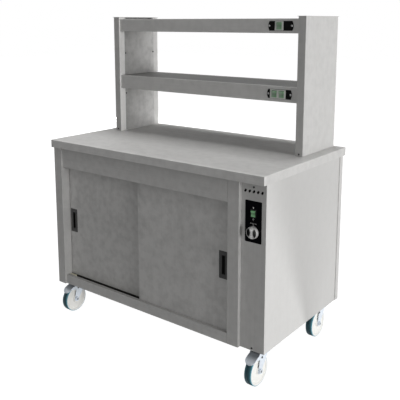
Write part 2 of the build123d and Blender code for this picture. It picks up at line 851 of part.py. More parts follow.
def thermostat_knob():
    """A tapered knob, bored for the spindle, with a scoop at each side of the bar that it is turned by."""
    y0 = y_fascia - label_sheet - knob_gap
    y1 = y0 - knob_depth
    cone = Cone(knob_radius, knob_face_radius, knob_depth)
    knob = Pos(x_control, (y0 + y1) / 2, knob_level) * Rot(90, 0, 0) * cone
    knob = fillet(knob.edges().sort_by(Axis.Y)[0], bend / 2)
    half, wide = scoop_length / 2, scoop_width / 2
    top, foot = (0, half), (0, -half)
    lens = make_face([ThreePointArc(top, (wide, 0), foot), ThreePointArc(foot, (-wide, 0), top)])
    for side in (-1, 1):
        knob -= Pos(x_control + side * scoop_offset, 0, knob_level) * prism_y(
            lens, y1 - sheet, y1 + scoop_depth
        )
    return knob - rod_y(x_control, y0 - shaft_depth, y0, knob_level, shaft_radius + shaft_clearance)


def terminal_block():
    """A row of supply terminals on the inside of the back panel."""
    y1 = y_back - sheet
    y0 = y1 - terminal_depth
    wide = terminal_width / 2
    body = block(x_control - wide, x_control + wide, y0, y1, terminal_level, terminal_level + terminal_height)
    pitch = terminal_width / terminal_ways
    for i in range(terminal_ways):
        x = x_control + (i - (terminal_ways - 1) / 2) * pitch
        body -= rod_y(x, y0, y0 + terminal_depth / 2, terminal_level + terminal_height / 2, pitch / 4)
    return body


def cable_gland():
    """The supply lead's gland in the base: a hexagon under the pan, a domed nut and a lock nut above."""
    x, y = gland_place
    z1 = z_bottom + base_sheet
    third = gland_drop / 3
    body = Pos(x, y, z_bottom - third) * hexagon(gland_hex, third)
    body += Pos(x, y, z_bottom - third - third) * Cone(gland_radius, gland_hex / 2, 2 * third)
    body += rod_z(x, y, z_bottom, z1 + 2 * third, gland_radius)
    body += Pos(x, y, z1) * hexagon(gland_hex, third)
    return body - rod_z(x, y, z_bottom - 2 * gland_drop, z1 + gland_drop, gland_bore)


# Gantry


def right_upright():
    """A folded channel, open to the inside between two strips that are stepped back for the covers."""
    post = block(x_shelf_end, x_upright, y_gantry, y_gantry_back, worktop_height, z_upright_top)
    post = fillet(post.edges().filter_by(Axis.Z), bend)
    inner = x_shelf_end + sheet
    z_foot = worktop_height + sheet
    post -= block(
        inner, x_upright - sheet, y_gantry + sheet, y_gantry_back - sheet, z_foot, z_upright_top + sheet
    )
    post -= block(x_shelf_end, inner, y_cover_front, y_cover_back, z_foot, z_upright_top + sheet)
    for y0, y1 in (
        (y_cover_front - rebate_lap, y_cover_front + rebate_width),
        (y_cover_back - rebate_width, y_cover_back + rebate_lap),
    ):
        post += block(inner, inner + sheet, y0, y1, z_foot, z_upright_top)
    post -= bolt_holes(gantry_bolts, worktop_height - sheet, z_foot + sheet)
    return post - drills(cover_screws) - drills(foot_screws)


def upright_covers():
    """Screwed covers over the wiring space of each upright, one in each bay."""
    bays = (
        (worktop_height + sheet, z_lower_shelf),
        (z_lower_shelf_top, z_upper_shelf),
    )
    y0, y1 = y_cover_front + touch_gap, y_cover_back - touch_gap
    covers = []
    for low, high in bays:
        z0, z1 = low + cover_clearance, high - cover_clearance
        cover = block(x_shelf_end, x_shelf_end + sheet, y0, y1, z0, z1) - drills(cover_screws)
        covers += [cover, mirrored(cover)]
    return group(covers)


def upright_caps():
    caps = []
    for side in (-1, 1):
        x0, x1 = sorted((side * (x_shelf_end - cap_overhang), side * (x_upright + cap_overhang)))
        y0, y1 = y_gantry - cap_overhang, y_gantry_back + cap_overhang
        caps.append(block(x0, x1, y0, y1, z_upright_top, z_upright_top + cap_sheet))
    return group(caps)


def gantry_shelf(z0, z1, z_plate, bezel_width):
    """A folded box open below over the lamps, with an opening in its front for the switches."""
    shelf = block(-x_shelf_end, x_shelf_end, y_shelf, y_shelf_back, z0, z1)
    shelf = fillet(shelf.edges().filter_by(Axis.X), bend)
    inner = x_shelf_end - sheet
    shelf -= block(-inner, inner, y_shelf + sheet, y_shelf_back - sheet, z0 + sheet, z1 - sheet)
    mouth = x_shelf_end - shelf_end_return
    y0, y1 = y_shelf + shelf_bottom_return, y_shelf_back - shelf_bottom_return
    shelf -= block(-mouth, mouth, y0, y1, z0 - sheet, z0 + 2 * sheet)
    opening = (x_gantry_switch, z_plate, bezel_width, gantry_bezel_height)
    shelf -= switch_cutout(*opening, y_shelf - sheet, y_shelf + 2 * sheet)
    return shelf - drills(plate_screws)


def switch_plate(z, bezel_width):
    """A black plate with bowed ends behind the gantry's switches."""
    wide, tall = plate_width / 2, plate_height / 2
    square = wide - plate_bulge
    corners = [(-square, -tall), (square, -tall), (square, tall), (-square, tall)]
    face = make_face(
        [
            Line(corners[0], corners[1]),
            ThreePointArc(corners[1], (wide, 0), corners[2]),
            Line(corners[2], corners[3]),
            ThreePointArc(corners[3], (-wide, 0), corners[0]),
        ]
    )
    plate = Pos(x_switch_plate, 0, z) * prism_y(face, y_plate, y_shelf)
    opening = (x_gantry_switch, z, bezel_width, gantry_bezel_height)
    plate -= switch_cutout(*opening, y_plate - sheet, y_shelf + sheet)
    return plate - drills(plate_screws)


def switch_plates():
    upper = switch_plate(z_upper_plate, gantry_bezel_width)
    return group((upper, switch_plate(z_lower_plate, lower_bezel_width)))


gantry_tiers = (z_lower_shelf, z_upper_shelf)
x_reflector = x_shelf_end - shelf_end_return - reflector_end_gap


def lamp_reflectors():
    """A bright trough over each tier's lamps, lying on the shelf's bottom returns."""
    y0, y1 = y_shelf + shelf_bottom_return, y_shelf_back - shelf_bottom_return
    slope = reflector_slope
    thick = reflector_sheet
    troughs = []
    for z_shelf in gantry_tiers:
        z0 = z_shelf + sheet
        z1 = z0 + reflector_depth
        face = outline(
            (y0 - reflector_lip, z0),
            (y0, z0),
            (y0 + slope, z1 - thick),
            (y1 - slope, z1 - thick),
            (y1, z0),
            (y1 + reflector_lip, z0),
            (y1 + reflector_lip, z0 + thick),
            (y1 + thick / 2, z0 + thick),
            (y1 - slope + thick / 2, z1),
            (y0 + slope - thick / 2, z1),
            (y0 - thick / 2, z0 + thick),
            (y0 - reflector_lip, z0 + thick),
        )
        troughs.append(prism_x(face, -x_reflector, x_reflector))
    return group(troughs)


def lamp_spans(z_shelf):
    """Each lamp's two ends: one lamp per switch, so two below and one above."""
    end = x_reflector - lamp_end_margin
    if z_shelf == z_upper_shelf:
        return [(-end, end)]
    inner = lower_lamp_spacing / 2 + holder_length - lamp_hold
    return [(-end, -inner), (inner, end)]


def lamp_level(z_shelf):
    return z_shelf + sheet + reflector_depth - reflector_sheet - lamp_drop


def quartz_lamps():
    return group(
        rod_x(x0, x1, y_lamp, lamp_level(z_shelf), lamp_radius)
        for z_shelf in gantry_tiers
        for x0, x1 in lamp_spans(z_shelf)
    )


def lamp_holders():
    """Ceramic blocks under the reflector, with a blind hole for the lamp's end."""
    holders = []
    for z_shelf in gantry_tiers:
        z = lamp_level(z_shelf)
        for x0, x1 in lamp_spans(z_shelf):
            for mouth, outward in ((x0 + lamp_hold, -1), (x1 - lamp_hold, 1)):
                a, b = sorted((mouth, mouth + outward * holder_length))
                y0, y1 = y_lamp - holder_width / 2, y_lamp + holder_width / 2
                holder = block(a, b, y0, y1, z - holder_below, z + lamp_drop)
                holder = fillet(holder.edges().filter_by(Axis.X).sort_by(Axis.Z)[:2], bend)
                bore = sorted((mouth - outward, mouth + outward * (lamp_hold + touch_gap)))
                holders.append(holder - rod_x(*bore, y_lamp, z, lamp_radius + lamp_bore_gap))
    return group(holders)


# Castors, each modelled round its own swivel axis


z_castor_plate = castor_height - castor_plate_sheet
z_race = z_castor_plate - race_boss
z_crown = castor_height - crown_drop
x_leg = fork_gap / 2 + fork_sheet
brake_inner = wheel_radius + brake_gap
brake_outer = brake_inner + brake_sheet
x_cheek = x_leg + brake_cheek_gap


def castor_plate():
    """The top plate with its half of the ball race and the king pin."""
    wide, tall = castor_plate_width / 2, castor_plate_length / 2
    plate = block(-wide, wide, -tall, tall, z_castor_plate, castor_height)
    plate = fillet(plate.edges().filter_by(Axis.Z), 3 * bend)
    plate += rod_z(0, 0, z_race, z_castor_plate, race_radius)
    z_pin = z_crown - fork_sheet - race_gap
    plate += rod_z(0, 0, z_pin, z_race, king_pin_radius)
    plate += rod_z(0, 0, z_pin - king_pin_head_height, z_pin, king_pin_head)
    holes = [(i * castor_bolt_x / 2, j * castor_bolt_y / 2) for i in (-1, 1) for j in (-1, 1)]
    return plate - bolt_holes(holes, z_castor_plate - sheet, castor_height + sheet)


def castor_fork(with_brake):
    """A pressed fork that trails to the front, and its axle bolt as a second solid."""
    y_axle, z_axle = -castor_trail, wheel_radius
    crown = rod_z(0, 0, z_crown - fork_sheet, z_crown, crown_radius)
    crown += block(-x_leg, x_leg, -fork_front, fork_back, z_crown - fork_sheet, z_crown)
    crown += rod_z(0, 0, z_crown, z_race - race_gap, race_radius)
    crown -= rod_z(0, 0, z_crown - 2 * fork_sheet, z_race, king_pin_radius + running_clearance)
    leg = outline(
        (-fork_front, z_crown),
        (y_axle - fork_boss, z_axle),
        (y_axle + fork_boss, z_axle),
        (fork_back, z_crown),
    )
    fork = crown
    for x0, x1 in ((-x_leg, -fork_gap / 2), (fork_gap / 2, x_leg)):
        side = prism_x(leg, x0, x1) + rod_x(x0, x1, y_axle, z_axle, fork_boss)
        side -= rod_x(x0 - sheet, x1 + sheet, y_axle, z_axle, axle_radius + axle_fit)
        if with_brake:
            pin = brake_pin_radius + running_clearance
            side -= rod_x(x0 - sheet, x1 + sheet, y_axle + brake_pivot_y, z_axle + brake_pivot_z, pin)
        fork += side
    axle = rod_x(-x_leg, x_leg, y_axle, z_axle, axle_radius)
    head = Rot(0, 90, 0) * hexagon(axle_hex, axle_head)
    axle += Pos(x_leg, y_axle, z_axle) * head + Pos(-x_leg - axle_head, y_axle, z_axle) * head
    return group((fork, axle))


def wheel_ring(profile):
    """A solid of revolution round the axle, from an outline in X and radius."""
    ring = revolve(Plane.XY * profile, axis=Axis.X)
    return Pos(0, -castor_trail, wheel_radius) * ring


def castor_wheel():
    """A moulded wheel: a hub tube, a thick web and a stepped rim."""
    bore = axle_radius + running_clearance
    rim = wheel_radius - tyre_depth
    half_hub, half_web, half_rim = hub_width / 2, web_width / 2, wheel_width / 2
    return wheel_ring(
        outline(
            (-half_hub, bore),
            (half_hub, bore),
            (half_hub, hub_radius),
            (half_web, hub_radius + half_hub - half_web),
            (half_web, rim - rim_depth),
            (half_rim, rim - rim_depth + half_rim - half_web),
            (half_rim, rim),
            (-half_rim, rim),
            (-half_rim, rim - rim_depth + half_rim - half_web),
            (-half_web, rim - rim_depth),
            (-half_web, hub_radius + half_hub - half_web),
            (-half_hub, hub_radius),
        )
    )


def castor_tyre():
    """A tread band with rounded shoulders."""
    half = wheel_width / 2
    rim = wheel_radius - tyre_depth
    band = outline((-half, rim), (half, rim), (half, wheel_radius), (-half, wheel_radius))
    return wheel_ring(fillet(band.vertices().sort_by(Axis.Y)[-2:], tyre_shoulder))


def brake_pedal():
    """A foot brake: a hood over the tread with a rounded tip, two cheeks, and a stub pin in each fork leg."""

    def around(radius, angle):
        return (radius * cos(radians(angle)), radius * sin(radians(angle)))

    middle = (brake_start + brake_end) / 2
    inner = [around(brake_inner, angle) for angle in (brake_start, middle, brake_end)]
    outer = [around(brake_outer, angle) for angle in (brake_end, middle, brake_start)]
    top = [(y + brake_run, z + brake_rise) for y, z in (outer[2], inner[0])]
    hood_face = make_face(
        [
            ThreePointArc(*inner),
            Line(inner[2], outer[0]),
            ThreePointArc(*outer),
            Line(outer[2], top[0]),
            Line(top[0], top[1]),
            Line(top[1], inner[0]),
        ]
    )
    x1 = x_cheek + brake_sheet
    hood = prism_x(hood_face, -x1, x1)
    straight = Pos(0, brake_outer) * Rectangle(2 * x1, 2 * brake_outer)
    tongue = extrude(straight + Circle(x1), amount=2 * brake_outer, both=True)
    y_tip, z_tip = around(brake_inner, brake_end)
    rounded = Pos(0, y_tip, z_tip) * Rot(90 - brake_end, 0, 0) * Rot(90, 0, 0) * Pos(0, x1, 0) * tongue
    pedal = hood & rounded
    pivot = (brake_pivot_y, brake_pivot_z)
    cheek = outline(
        top[0],
        outer[2],
        around(brake_outer, middle),
        around(brake_inner - brake_sheet, middle),
        (pivot[0], pivot[1] - brake_boss),
        (pivot[0] + brake_boss, pivot[1]),
        (pivot[0], pivot[1] + brake_boss),
    )
    for x0, x2 in ((-x1, -x_cheek), (x_cheek, x1)):
        pedal += prism_x(cheek, x0, x2) + rod_x(x0, x2, *pivot, brake_boss)
    for x0, x2 in ((-x1, touch_gap - fork_gap / 2), (fork_gap / 2 - touch_gap, x1)):
        pedal += rod_x(x0, x2, *pivot, brake_pin_radius)
    return Pos(0, -castor_trail, wheel_radius) * pedal


# Every node


os.makedirs("parts", exist_ok=True)

save("worktop", worktop())
save("left_side_panel", mirrored(side_panel(y_post + left_post_depth, z_top)))
save("right_side_panel", side_panel(y_fascia, vent_level - vent_length))
save("back_panel", back_panel())
save("left_front_post", left_front_post())
save("door_post", door_post())
save("door_header", door_header())
save("sill", sill())
save("base_pan", base_pan())

doors = {
    "left": (x_door_left, y_rear_door, x_jamb + handle_inset),
    "right": (x_door_right - door_width, y_front_door, x_opening - handle_inset),
}
for side, (x_door, y_door, x_handle) in doors.items():
    save(f"{side}_door_skin", door_skin(x_door, y_door, x_handle))
    save(f"{side}_door_inner_skin", door_inner_skin(x_door, y_door))
    save(f"{side}_door_handle", door_handle(x_handle, y_door))
save("door_runners", door_runners())

save("cabinet_liner", cabinet_liner())
save("element_cover", element_cover())
save("heating_element", heating_element())
save("shelf_supports", shelf_supports())
save("middle_shelf", middle_shelf())
save("insulation_slabs", insulation_slabs())

save("control_fascia", control_fascia())
save("control_label_plate", control_label_plate())
save("switch_bodies", switch_bodies())
save("thermostat", thermostat())
save("thermostat_knob", thermostat_knob())
save("terminal_block", terminal_block())
save("cable_gland", cable_gland())
save("main_rocker", rocker(*main_switch, main_rocker_width, main_rocker_height))
gantry_rocker_size = (gantry_rocker_width, gantry_rocker_height)
save("upper_rocker", rocker(x_gantry_switch, z_upper_plate, y_plate, *gantry_rocker_size))
for side, x_rocker in zip(("left", "right"), lower_rockers):
    save(f"lower_{side}_rocker", rocker(x_rocker, z_lower_plate, y_plate, *gantry_rocker_size))

save("right_upright", right_upright())
save("left_upright", mirrored(right_upright()))
save("upright_covers", upright_covers())
save("upright_caps", upright_caps())
save("lower_shelf", gantry_shelf(z_lower_shelf, z_lower_shelf_top, z_lower_plate, lower_bezel_width))
save("upper_shelf", gantry_shelf(z_upper_shelf, z_upper_shelf_top, z_upper_plate, gantry_bezel_width))
save("switch_plates", switch_plates())
save("lamp_reflectors", lamp_reflectors())
save("quartz_lamps", quartz_lamps())
save("lamp_holders", lamp_holders())

save("panel_screws", group(screw(*s) for s in fascia_screws + cover_screws + plate_screws + foot_screws))
castor_grip = castor_plate_sheet + base_sheet
castor_bolt_solids = [bolt(x, y, z_castor_plate, castor_grip) for x, y in castor_bolts]
gantry_bolt_solids = [bolt(x, y, z_top, 2 * sheet) for x, y in gantry_bolts]
save("frame_bolts", group(castor_bolt_solids + gantry_bolt_solids))

save("castor_plates", group(Pos(x, y, 0) * castor_plate() for x, y in castor_places.values()))
for place, (x, y) in castor_places.items():
    front = place.startswith("front")
    save(f"castor_fork_{place}", Pos(x, y, 0) * castor_fork(front))
    save(f"castor_wheel_{place}", Pos(x, y, 0) * castor_wheel())
    save(f"castor_tyre_{place}", Pos(x, y, 0) * castor_tyre())
    if front:
        save(f"brake_pedal_{place}", Pos(x, y, 0) * brake_pedal())
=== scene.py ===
# %% [markdown]
# # A hot cupboard with a two-tier heat lamp gantry
# The real object is a stainless-steel cupboard on castors. Its worktop carries a gantry with two heated
# shelves. The solids were drawn as CAD and packed as a fixed frame, so this lesson doesn't model them
# again. It loads them, gives each one a finish, adds the small things that CAD leaves out, and sets up
# the camera and the studio.

# %% Load the frame
import json
import math
import bmesh
import bpy
from mathutils import Matrix, Vector


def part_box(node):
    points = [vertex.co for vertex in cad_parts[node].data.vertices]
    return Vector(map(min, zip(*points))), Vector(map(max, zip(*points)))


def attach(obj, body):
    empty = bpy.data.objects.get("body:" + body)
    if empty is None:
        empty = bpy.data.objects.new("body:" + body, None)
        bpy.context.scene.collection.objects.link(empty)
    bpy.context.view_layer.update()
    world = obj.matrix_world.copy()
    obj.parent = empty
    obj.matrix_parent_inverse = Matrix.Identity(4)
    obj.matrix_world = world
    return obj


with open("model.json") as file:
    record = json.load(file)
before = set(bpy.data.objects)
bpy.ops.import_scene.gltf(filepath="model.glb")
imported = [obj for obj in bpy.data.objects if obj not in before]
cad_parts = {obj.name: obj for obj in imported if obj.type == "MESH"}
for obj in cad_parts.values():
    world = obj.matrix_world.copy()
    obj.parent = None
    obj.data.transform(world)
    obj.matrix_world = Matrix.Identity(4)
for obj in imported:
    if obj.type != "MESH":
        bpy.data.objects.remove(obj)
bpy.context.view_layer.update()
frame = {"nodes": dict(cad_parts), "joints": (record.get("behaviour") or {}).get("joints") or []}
parts = frame["nodes"]

# %% [markdown]
# ## The camera
# The picture was taken from the front right, at about the height of the upper shelf. The posts are almost
# upright in it, as with a shifted lens, so the same is done here: the camera looks only ten degrees down,
# and the picture is shifted to bring the castors in. Tilting the camera further would do it too, but then
# the cupboard would narrow towards the floor. The narrow sensor width changes nothing in this picture,
# because the sensor's height sets the angle. It only makes tools that fit the whole object into a view
# stand further back.

# %% Camera
frame_px = 400
lens_px = 624.0
sensor_mm = 36.0
narrow_sensor_mm = 28.5
lens_shift = -0.18
target = Vector((0.0333, 0.0073, 0.9469))
azimuth, elevation = math.radians(37.67), math.radians(9.62)
distance = 2.874

back = Vector((
    math.sin(azimuth) * math.cos(elevation),
    -math.cos(azimuth) * math.cos(elevation),
    math.sin(elevation),
))
lens = bpy.data.cameras.new("camera")
lens.sensor_fit = "VERTICAL"
lens.sensor_height = sensor_mm
lens.sensor_width = narrow_sensor_mm
lens.lens = lens_px * sensor_mm / frame_px
lens.shift_y = lens_shift
camera = bpy.data.objects.new("camera", lens)
camera.location = target + back * distance
camera.rotation_euler = (-back).to_track_quat("-Z", "Y").to_euler()
scene = bpy.context.scene
scene.collection.objects.link(camera)
scene.camera = camera
print("camera at", tuple(round(c, 3) for c in camera.location), "lens", round(lens.lens, 1), "mm")

# %% [markdown]
# ## Small helpers for node trees
# Every finish here is a tree of nodes. One helper adds a node and fills in its values, and another starts
# a material with its main shader. The rest are names for sums that come back often, so that a finish
# reads as a short list of steps. A value that is the same all over a surface is set on the shader itself,
# and only what varies, such as grain, is wired in.


# %% Nodes and sums
def add(tree, kind, settings=(), **values):
    """Adds a node, sets its own settings, then fills or wires its inputs by name."""
    made = tree.nodes.new(kind)
    for name, value in dict(settings).items():
        setattr(made, name, value)
    for name, value in values.items():
        key = int(name[1:]) if name[0] == "_" else name.replace("_", " ")
        socket = made.inputs[key]
        if isinstance(value, bpy.types.NodeSocket):
            tree.links.new(value, socket)
        else:
            socket.default_value = value
    return made


def calc(tree, operation, first, second=0.0):
    """A sum on two values. A comparison gives one where it is true, and zero elsewhere."""
    return add(tree, "ShaderNodeMath", {"operation": operation}, _0=first, _1=second).outputs[0]


def vary(tree, value, low, high, start=0.0, stop=1.0, smooth=False):
    """Runs from low to high while the value goes from start to stop, and stays level outside them."""
    settings = {"interpolation_type": "SMOOTHSTEP"} if smooth else {}
    made = add(tree, "ShaderNodeMapRange", settings, Value=value, From_Min=start, From_Max=stop,
               To_Min=low, To_Max=high)
    return made.outputs[0]


def axes_of(tree, place):
    """A place as X, Y and Z: across, depth and height."""
    return add(tree, "ShaderNodeSeparateXYZ", Vector=place).outputs


def round_axis(tree, place, centre, keep):
    """The offset from an axis through a centre, and its length. Keep is zero along the axis."""
    offset = add(tree, "ShaderNodeVectorMath", {"operation": "SUBTRACT"}, _0=place, _1=centre).outputs[0]
    flat = add(tree, "ShaderNodeVectorMath", {"operation": "MULTIPLY"}, _0=offset, _1=keep).outputs[0]
    return flat, add(tree, "ShaderNodeVectorMath", {"operation": "LENGTH"}, _0=flat).outputs["Value"]


def weighted(tree, *terms):
    """Adds up (value, weight) pairs round 0.5, so that each value of 0.5 changes nothing."""
    total = 0.5
    for value, weight in terms:
        step = add(tree, "ShaderNodeMath", {"operation": "MULTIPLY_ADD"}, _0=value, _1=weight)
        if isinstance(total, float):
            step.inputs[2].default_value = total - weight / 2
        else:
            tree.links.new(calc(tree, "SUBTRACT", total, weight / 2), step.inputs[2])
        total = step.outputs[0]
    return total


print("sums ready")


# %% Colours, noise and relief
def finish(name, colour, roughness, metallic=0.0, shine=0.5):
    """A material with its main shader, and the coordinates that stay with the piece."""
    material = bpy.data.materials.new(name)
    material.use_nodes = True
    tree = material.node_tree
    shader = next(n for n in tree.nodes if n.type == "BSDF_PRINCIPLED")
    shader.inputs["Base Color"].default_value = (*colour, 1)
    shader.inputs["Roughness"].default_value = roughness
    shader.inputs["Metallic"].default_value = metallic
    shader.inputs["Specular IOR Level"].default_value = shine
    place = tree.nodes.new("ShaderNodeTexCoord").outputs["Object"]
    return material, tree, shader, place


def wire(tree, value, shader, name):
    """Wires a value into one of the shader's inputs."""
    tree.links.new(value, shader.inputs[name])


def stretched_noise(tree, place, scale, detail=3.0, offset=(0, 0, 0)):
    """Noise that is drawn out along an axis with a small scale."""
    mapped = add(tree, "ShaderNodeMapping", Vector=place, Scale=scale, Location=offset)
    return add(tree, "ShaderNodeTexNoise", Vector=mapped.outputs[0], Scale=1.0, Detail=detail).outputs[0]


def tint(tree, value, colour, dark, light):
    """A ramp from a darker to a lighter tone of one colour."""
    ramp = tree.nodes.new("ShaderNodeValToRGB")
    for stop, tone in zip(ramp.color_ramp.elements, (dark, light)):
        stop.color = (*[c * tone for c in colour], 1)
    tree.links.new(value, ramp.inputs[0])
    return ramp.outputs[0]


def scaled(tree, colour, factor):
    """A colour made darker or lighter."""
    return add(tree, "ShaderNodeVectorMath", {"operation": "SCALE"}, _0=colour, Scale=factor).outputs[0]


def mixed(tree, share, first, second):
    """The first colour where the share is zero, and the second where it is one."""
    return add(tree, "ShaderNodeMix", {"data_type": "RGBA"}, _0=share, _6=first, _7=second).outputs[2]


def relief(tree, shader, height, depth, strength=0.5):
    """Wires a height into the shader's normal."""
    bump = add(tree, "ShaderNodeBump", Height=height, Strength=strength, Distance=depth)
    wire(tree, bump.outputs[0], shader, "Normal")


def domed_relief(tree, shader, fall, rise, grain, depth, strength):
    """A dome too shallow to model, which drops by the fall, with a fine grain on it."""
    drop = calc(tree, "MULTIPLY", fall, -1.0)
    dome = add(tree, "ShaderNodeBump", Height=drop, Strength=1.0, Distance=rise)
    fine = add(tree, "ShaderNodeBump", Height=grain, Strength=strength, Distance=depth,
               Normal=dome.outputs[0])
    wire(tree, fine.outputs[0], shader, "Normal")


print("colours, noise and relief ready")

# %% [markdown]
# ## Satin steel
# Catering steel is ground with a belt, which leaves fine lines along the sheet, and it is wiped every
# day, which leaves soft clouds. Both are noise: one is stretched along the grain, the other isn't
# stretched. The lines are narrow, so a second, broader set is added to be seen from across a room. A
# photograph of steel could be wrapped round the parts instead, but noise has no seams and stays at the
# right scale on every sheet.


# %% Satin steel
def grain_scale(axis, along, across):
    """Noise scales that draw the grain out along one axis."""
    return [along if letter == axis else across for letter in "XYZ"]


def satin_steel(name, axis, colour=(0.55, 0.545, 0.535), roughness=0.5, clouds=0.5, offset=(0, 0, 0),
                shade=None, grain=0.5):
    """Ground steel. A shade, if given, scales the tone from place to place as painted light and shade."""
    material, tree, shader, place = finish(name, colour, roughness, metallic=0.2, shine=0.25)
    lines = stretched_noise(tree, place, grain_scale(axis, 14.0, 1500.0), 2.0, offset)
    bands = stretched_noise(tree, place, grain_scale(axis, 2.5, 260.0), 3.0, offset)
    wiped = stretched_noise(tree, place, (9, 9, 9), 4.0, offset)
    spots = stretched_noise(tree, place, (34, 34, 34), 3.0, offset)
    clean = vary(tree, spots, 0.0, 1.0, 0.25, 0.6)
    value = weighted(tree, (lines, 0.3), (bands, grain), (wiped, clouds), (clean, clouds))
    tone = tint(tree, value, colour, 0.86, 1.14)
    if shade:
        tone = scaled(tree, tone, shade(tree, place))
    wire(tree, tone, shader, "Base Color")
    wire(tree, vary(tree, wiped, roughness - 0.08, roughness + 0.08), shader, "Roughness")
    relief(tree, shader, lines, 0.00012, 0.35)
    return material


print("satin steel ready")

# %% [markdown]
# ## Painted shade and light on the sheets
# The sheets aren't the same tone all over. Part of it is soft shadow and light that a few lamps don't
# give, so it is painted into the steel's colour: a painted shadow on the top of the lower shelf, painted
# light on a side panel's lower front corner, and a painted shadow just below an edge that overhangs a
# sheet. Painted this way, it stays with the sheet when a door slides. Each is a small function: it works
# out a factor from the place on the sheet, and the steel's tone is scaled by it. Painting the tones by
# hand would need a picture for each sheet.


# %% Places on the cabinet
def painted_shadow_below_edge(name, reach, dark):
    """Painted shadow: a sheet is darker just below the edge of the one that overhangs it."""
    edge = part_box(name)[0].z
    return lambda tree, place: vary(tree, axes_of(tree, place)[2], 1.0, dark, edge - reach, edge)


# Painted shadows: the worktop's edge on the header and the posts, the header on the doors.
header_painted_shadow = painted_shadow_below_edge("worktop", 0.075, 0.83)
post_painted_shadow = painted_shadow_below_edge("worktop", 0.075, 0.85)
door_painted_shadow = painted_shadow_below_edge("door_header", 0.08, 0.8)


def left_door_painted_shadows(tree, place):
    """Painted shadow below the header, and beside the right door, which stands in front of the left door.
    """
    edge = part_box("right_door_skin")[0].x
    reach = 0.06
    beside = vary(tree, axes_of(tree, place)[0], 1.0, 0.84, edge - reach, edge)
    return calc(tree, "MULTIPLY", beside, door_painted_shadow(tree, place))


def painted_fold_highlight(tree, place):
    """Painted highlight: the worktop's front edge and the fold above it are lighter than its top."""
    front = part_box("worktop")[0].y
    fold = 0.025
    return vary(tree, axes_of(tree, place)[1], 1.14, 1.0, front, front + fold)


def painted_groove_shade(tree, place):
    """Painted shade: nearly black in the sill's two grooves, behind its ledge and below its top."""
    low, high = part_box("sill")
    ledge = 0.0165
    skin = 0.0004
    _, depth, height = axes_of(tree, place)
    behind = calc(tree, "GREATER_THAN", depth, low.y + ledge)
    below = calc(tree, "LESS_THAN", height, high.z - skin)
    return vary(tree, calc(tree, "MULTIPLY", behind, below), 1.0, 0.06)


def painted_light_wedge(tree, place):
    """Painted light on a side panel's lower front corner. Its slanted edge is sharper lower down."""
    low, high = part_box("right_side_panel")
    slant = Vector((0, 0.912, 0.41))
    foot = Vector((0, low.y + 0.33, low.z + 0.02))
    sharp, soft = 0.022, 0.13
    plain_top = 0.16
    along = add(tree, "ShaderNodeVectorMath", {"operation": "DOT_PRODUCT"}, _0=place, _1=slant)
    past = calc(tree, "SUBTRACT", along.outputs["Value"], slant.dot(foot))
    blur = vary(tree, axes_of(tree, place)[2], sharp, soft, low.z, high.z - plain_top)
    share = calc(tree, "DIVIDE", past, blur)
    wedge = vary(tree, share, 1.15, 0.89, -1.0, 1.0, smooth=True)
    rise = vary(tree, share, 0.0, 0.13, 0.5, 5.0)
    return calc(tree, "ADD", wedge, rise)


# %% Places on the gantry
def painted_shelf_shadow(tree, place):
    """Painted shadow on the lower shelf's top, and a painted highlight on its front fold."""
    low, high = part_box("lower_shelf")
    fold = 0.014
    skin = 0.001
    _, depth, height = axes_of(tree, place)
    upper = calc(tree, "GREATER_THAN", height, high.z - skin)
    inner = calc(tree, "GREATER_THAN", depth, low.y + fold)
    # Painted shadow on the top behind its fold; the painted highlight lifts the fold.
    top_shadow = vary(tree, calc(tree, "MULTIPLY", upper, inner), 1.0, 0.42)
    return calc(tree, "MULTIPLY", top_shadow, vary(tree, upper, 1.0, 1.15))


def upright_painted_light(tree, place):
    """Painted shade on the uprights' front faces, and a painted highlight on the returns inside."""
    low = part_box("right_upright")[0]
    front_skin = 0.0012
    inner_skin = 0.0008
    across, depth, _ = axes_of(tree, place)
    behind = calc(tree, "GREATER_THAN", depth, low.y + front_skin)
    inner = calc(tree, "LESS_THAN", calc(tree, "ABSOLUTE", across), low.x + inner_skin)
    return calc(tree, "MULTIPLY", vary(tree, behind, 0.84, 1.0), vary(tree, inner, 1.0, 1.55))


def painted_cover_light(tree, place):
    """Painted shade at the front of the covers inside the uprights, and painted light at their rear."""
    low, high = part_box("upright_covers")
    return vary(tree, axes_of(tree, place)[1], 0.72, 1.25, low.y, high.y)


# %% Dress the sheets
steel = {
    "worktop": satin_steel("worktop_steel", "X", clouds=0.35, shade=painted_fold_highlight),
    "shelves": satin_steel("shelf_steel", "X", clouds=0.3, offset=(3, 1, 2)),
    "lower_shelf": satin_steel("lower_shelf_steel", "X", clouds=0.3, offset=(3, 1, 2), shade=painted_shelf_shadow),
    "rails": satin_steel("rail_steel", "X", clouds=0.4, offset=(5, 2, 1), shade=header_painted_shadow),
    "sill": satin_steel("sill_steel", "X", clouds=0.4, offset=(7, 2, 4), shade=painted_groove_shade),
    "posts": satin_steel("post_steel", "Z", clouds=0.3, offset=(1, 4, 2), shade=post_painted_shadow),
    "uprights": satin_steel("upright_steel", "Z", clouds=0.3, offset=(1, 4, 2), shade=upright_painted_light),
    "left_door": satin_steel("left_door_steel", "Z", clouds=0.7, offset=(2, 7, 3), shade=left_door_painted_shadows),
    "right_door": satin_steel("right_door_steel", "Z", clouds=0.7, offset=(2, 7, 3), shade=door_painted_shadow),
    "panels": satin_steel("panel_steel", "Z", clouds=0.3, offset=(6, 1, 5)),
    "covers": satin_steel("cover_steel", "Z", clouds=0.8, offset=(6, 1, 5), shade=painted_cover_light),
    "sides": satin_steel("side_steel", "Z", clouds=0.1, offset=(4, 6, 5), shade=painted_light_wedge, grain=0.25),
    "inside": satin_steel("inside_steel", "Y", (0.5, 0.5, 0.49), 0.45, offset=(8, 3, 3)),
}
dressed = {}


def dress(material, *names):
    """Gives one finish to several parts."""
    for name in names:
        parts[name].data.materials.clear()
        parts[name].data.materials.append(material)
        dressed[name] = material.name


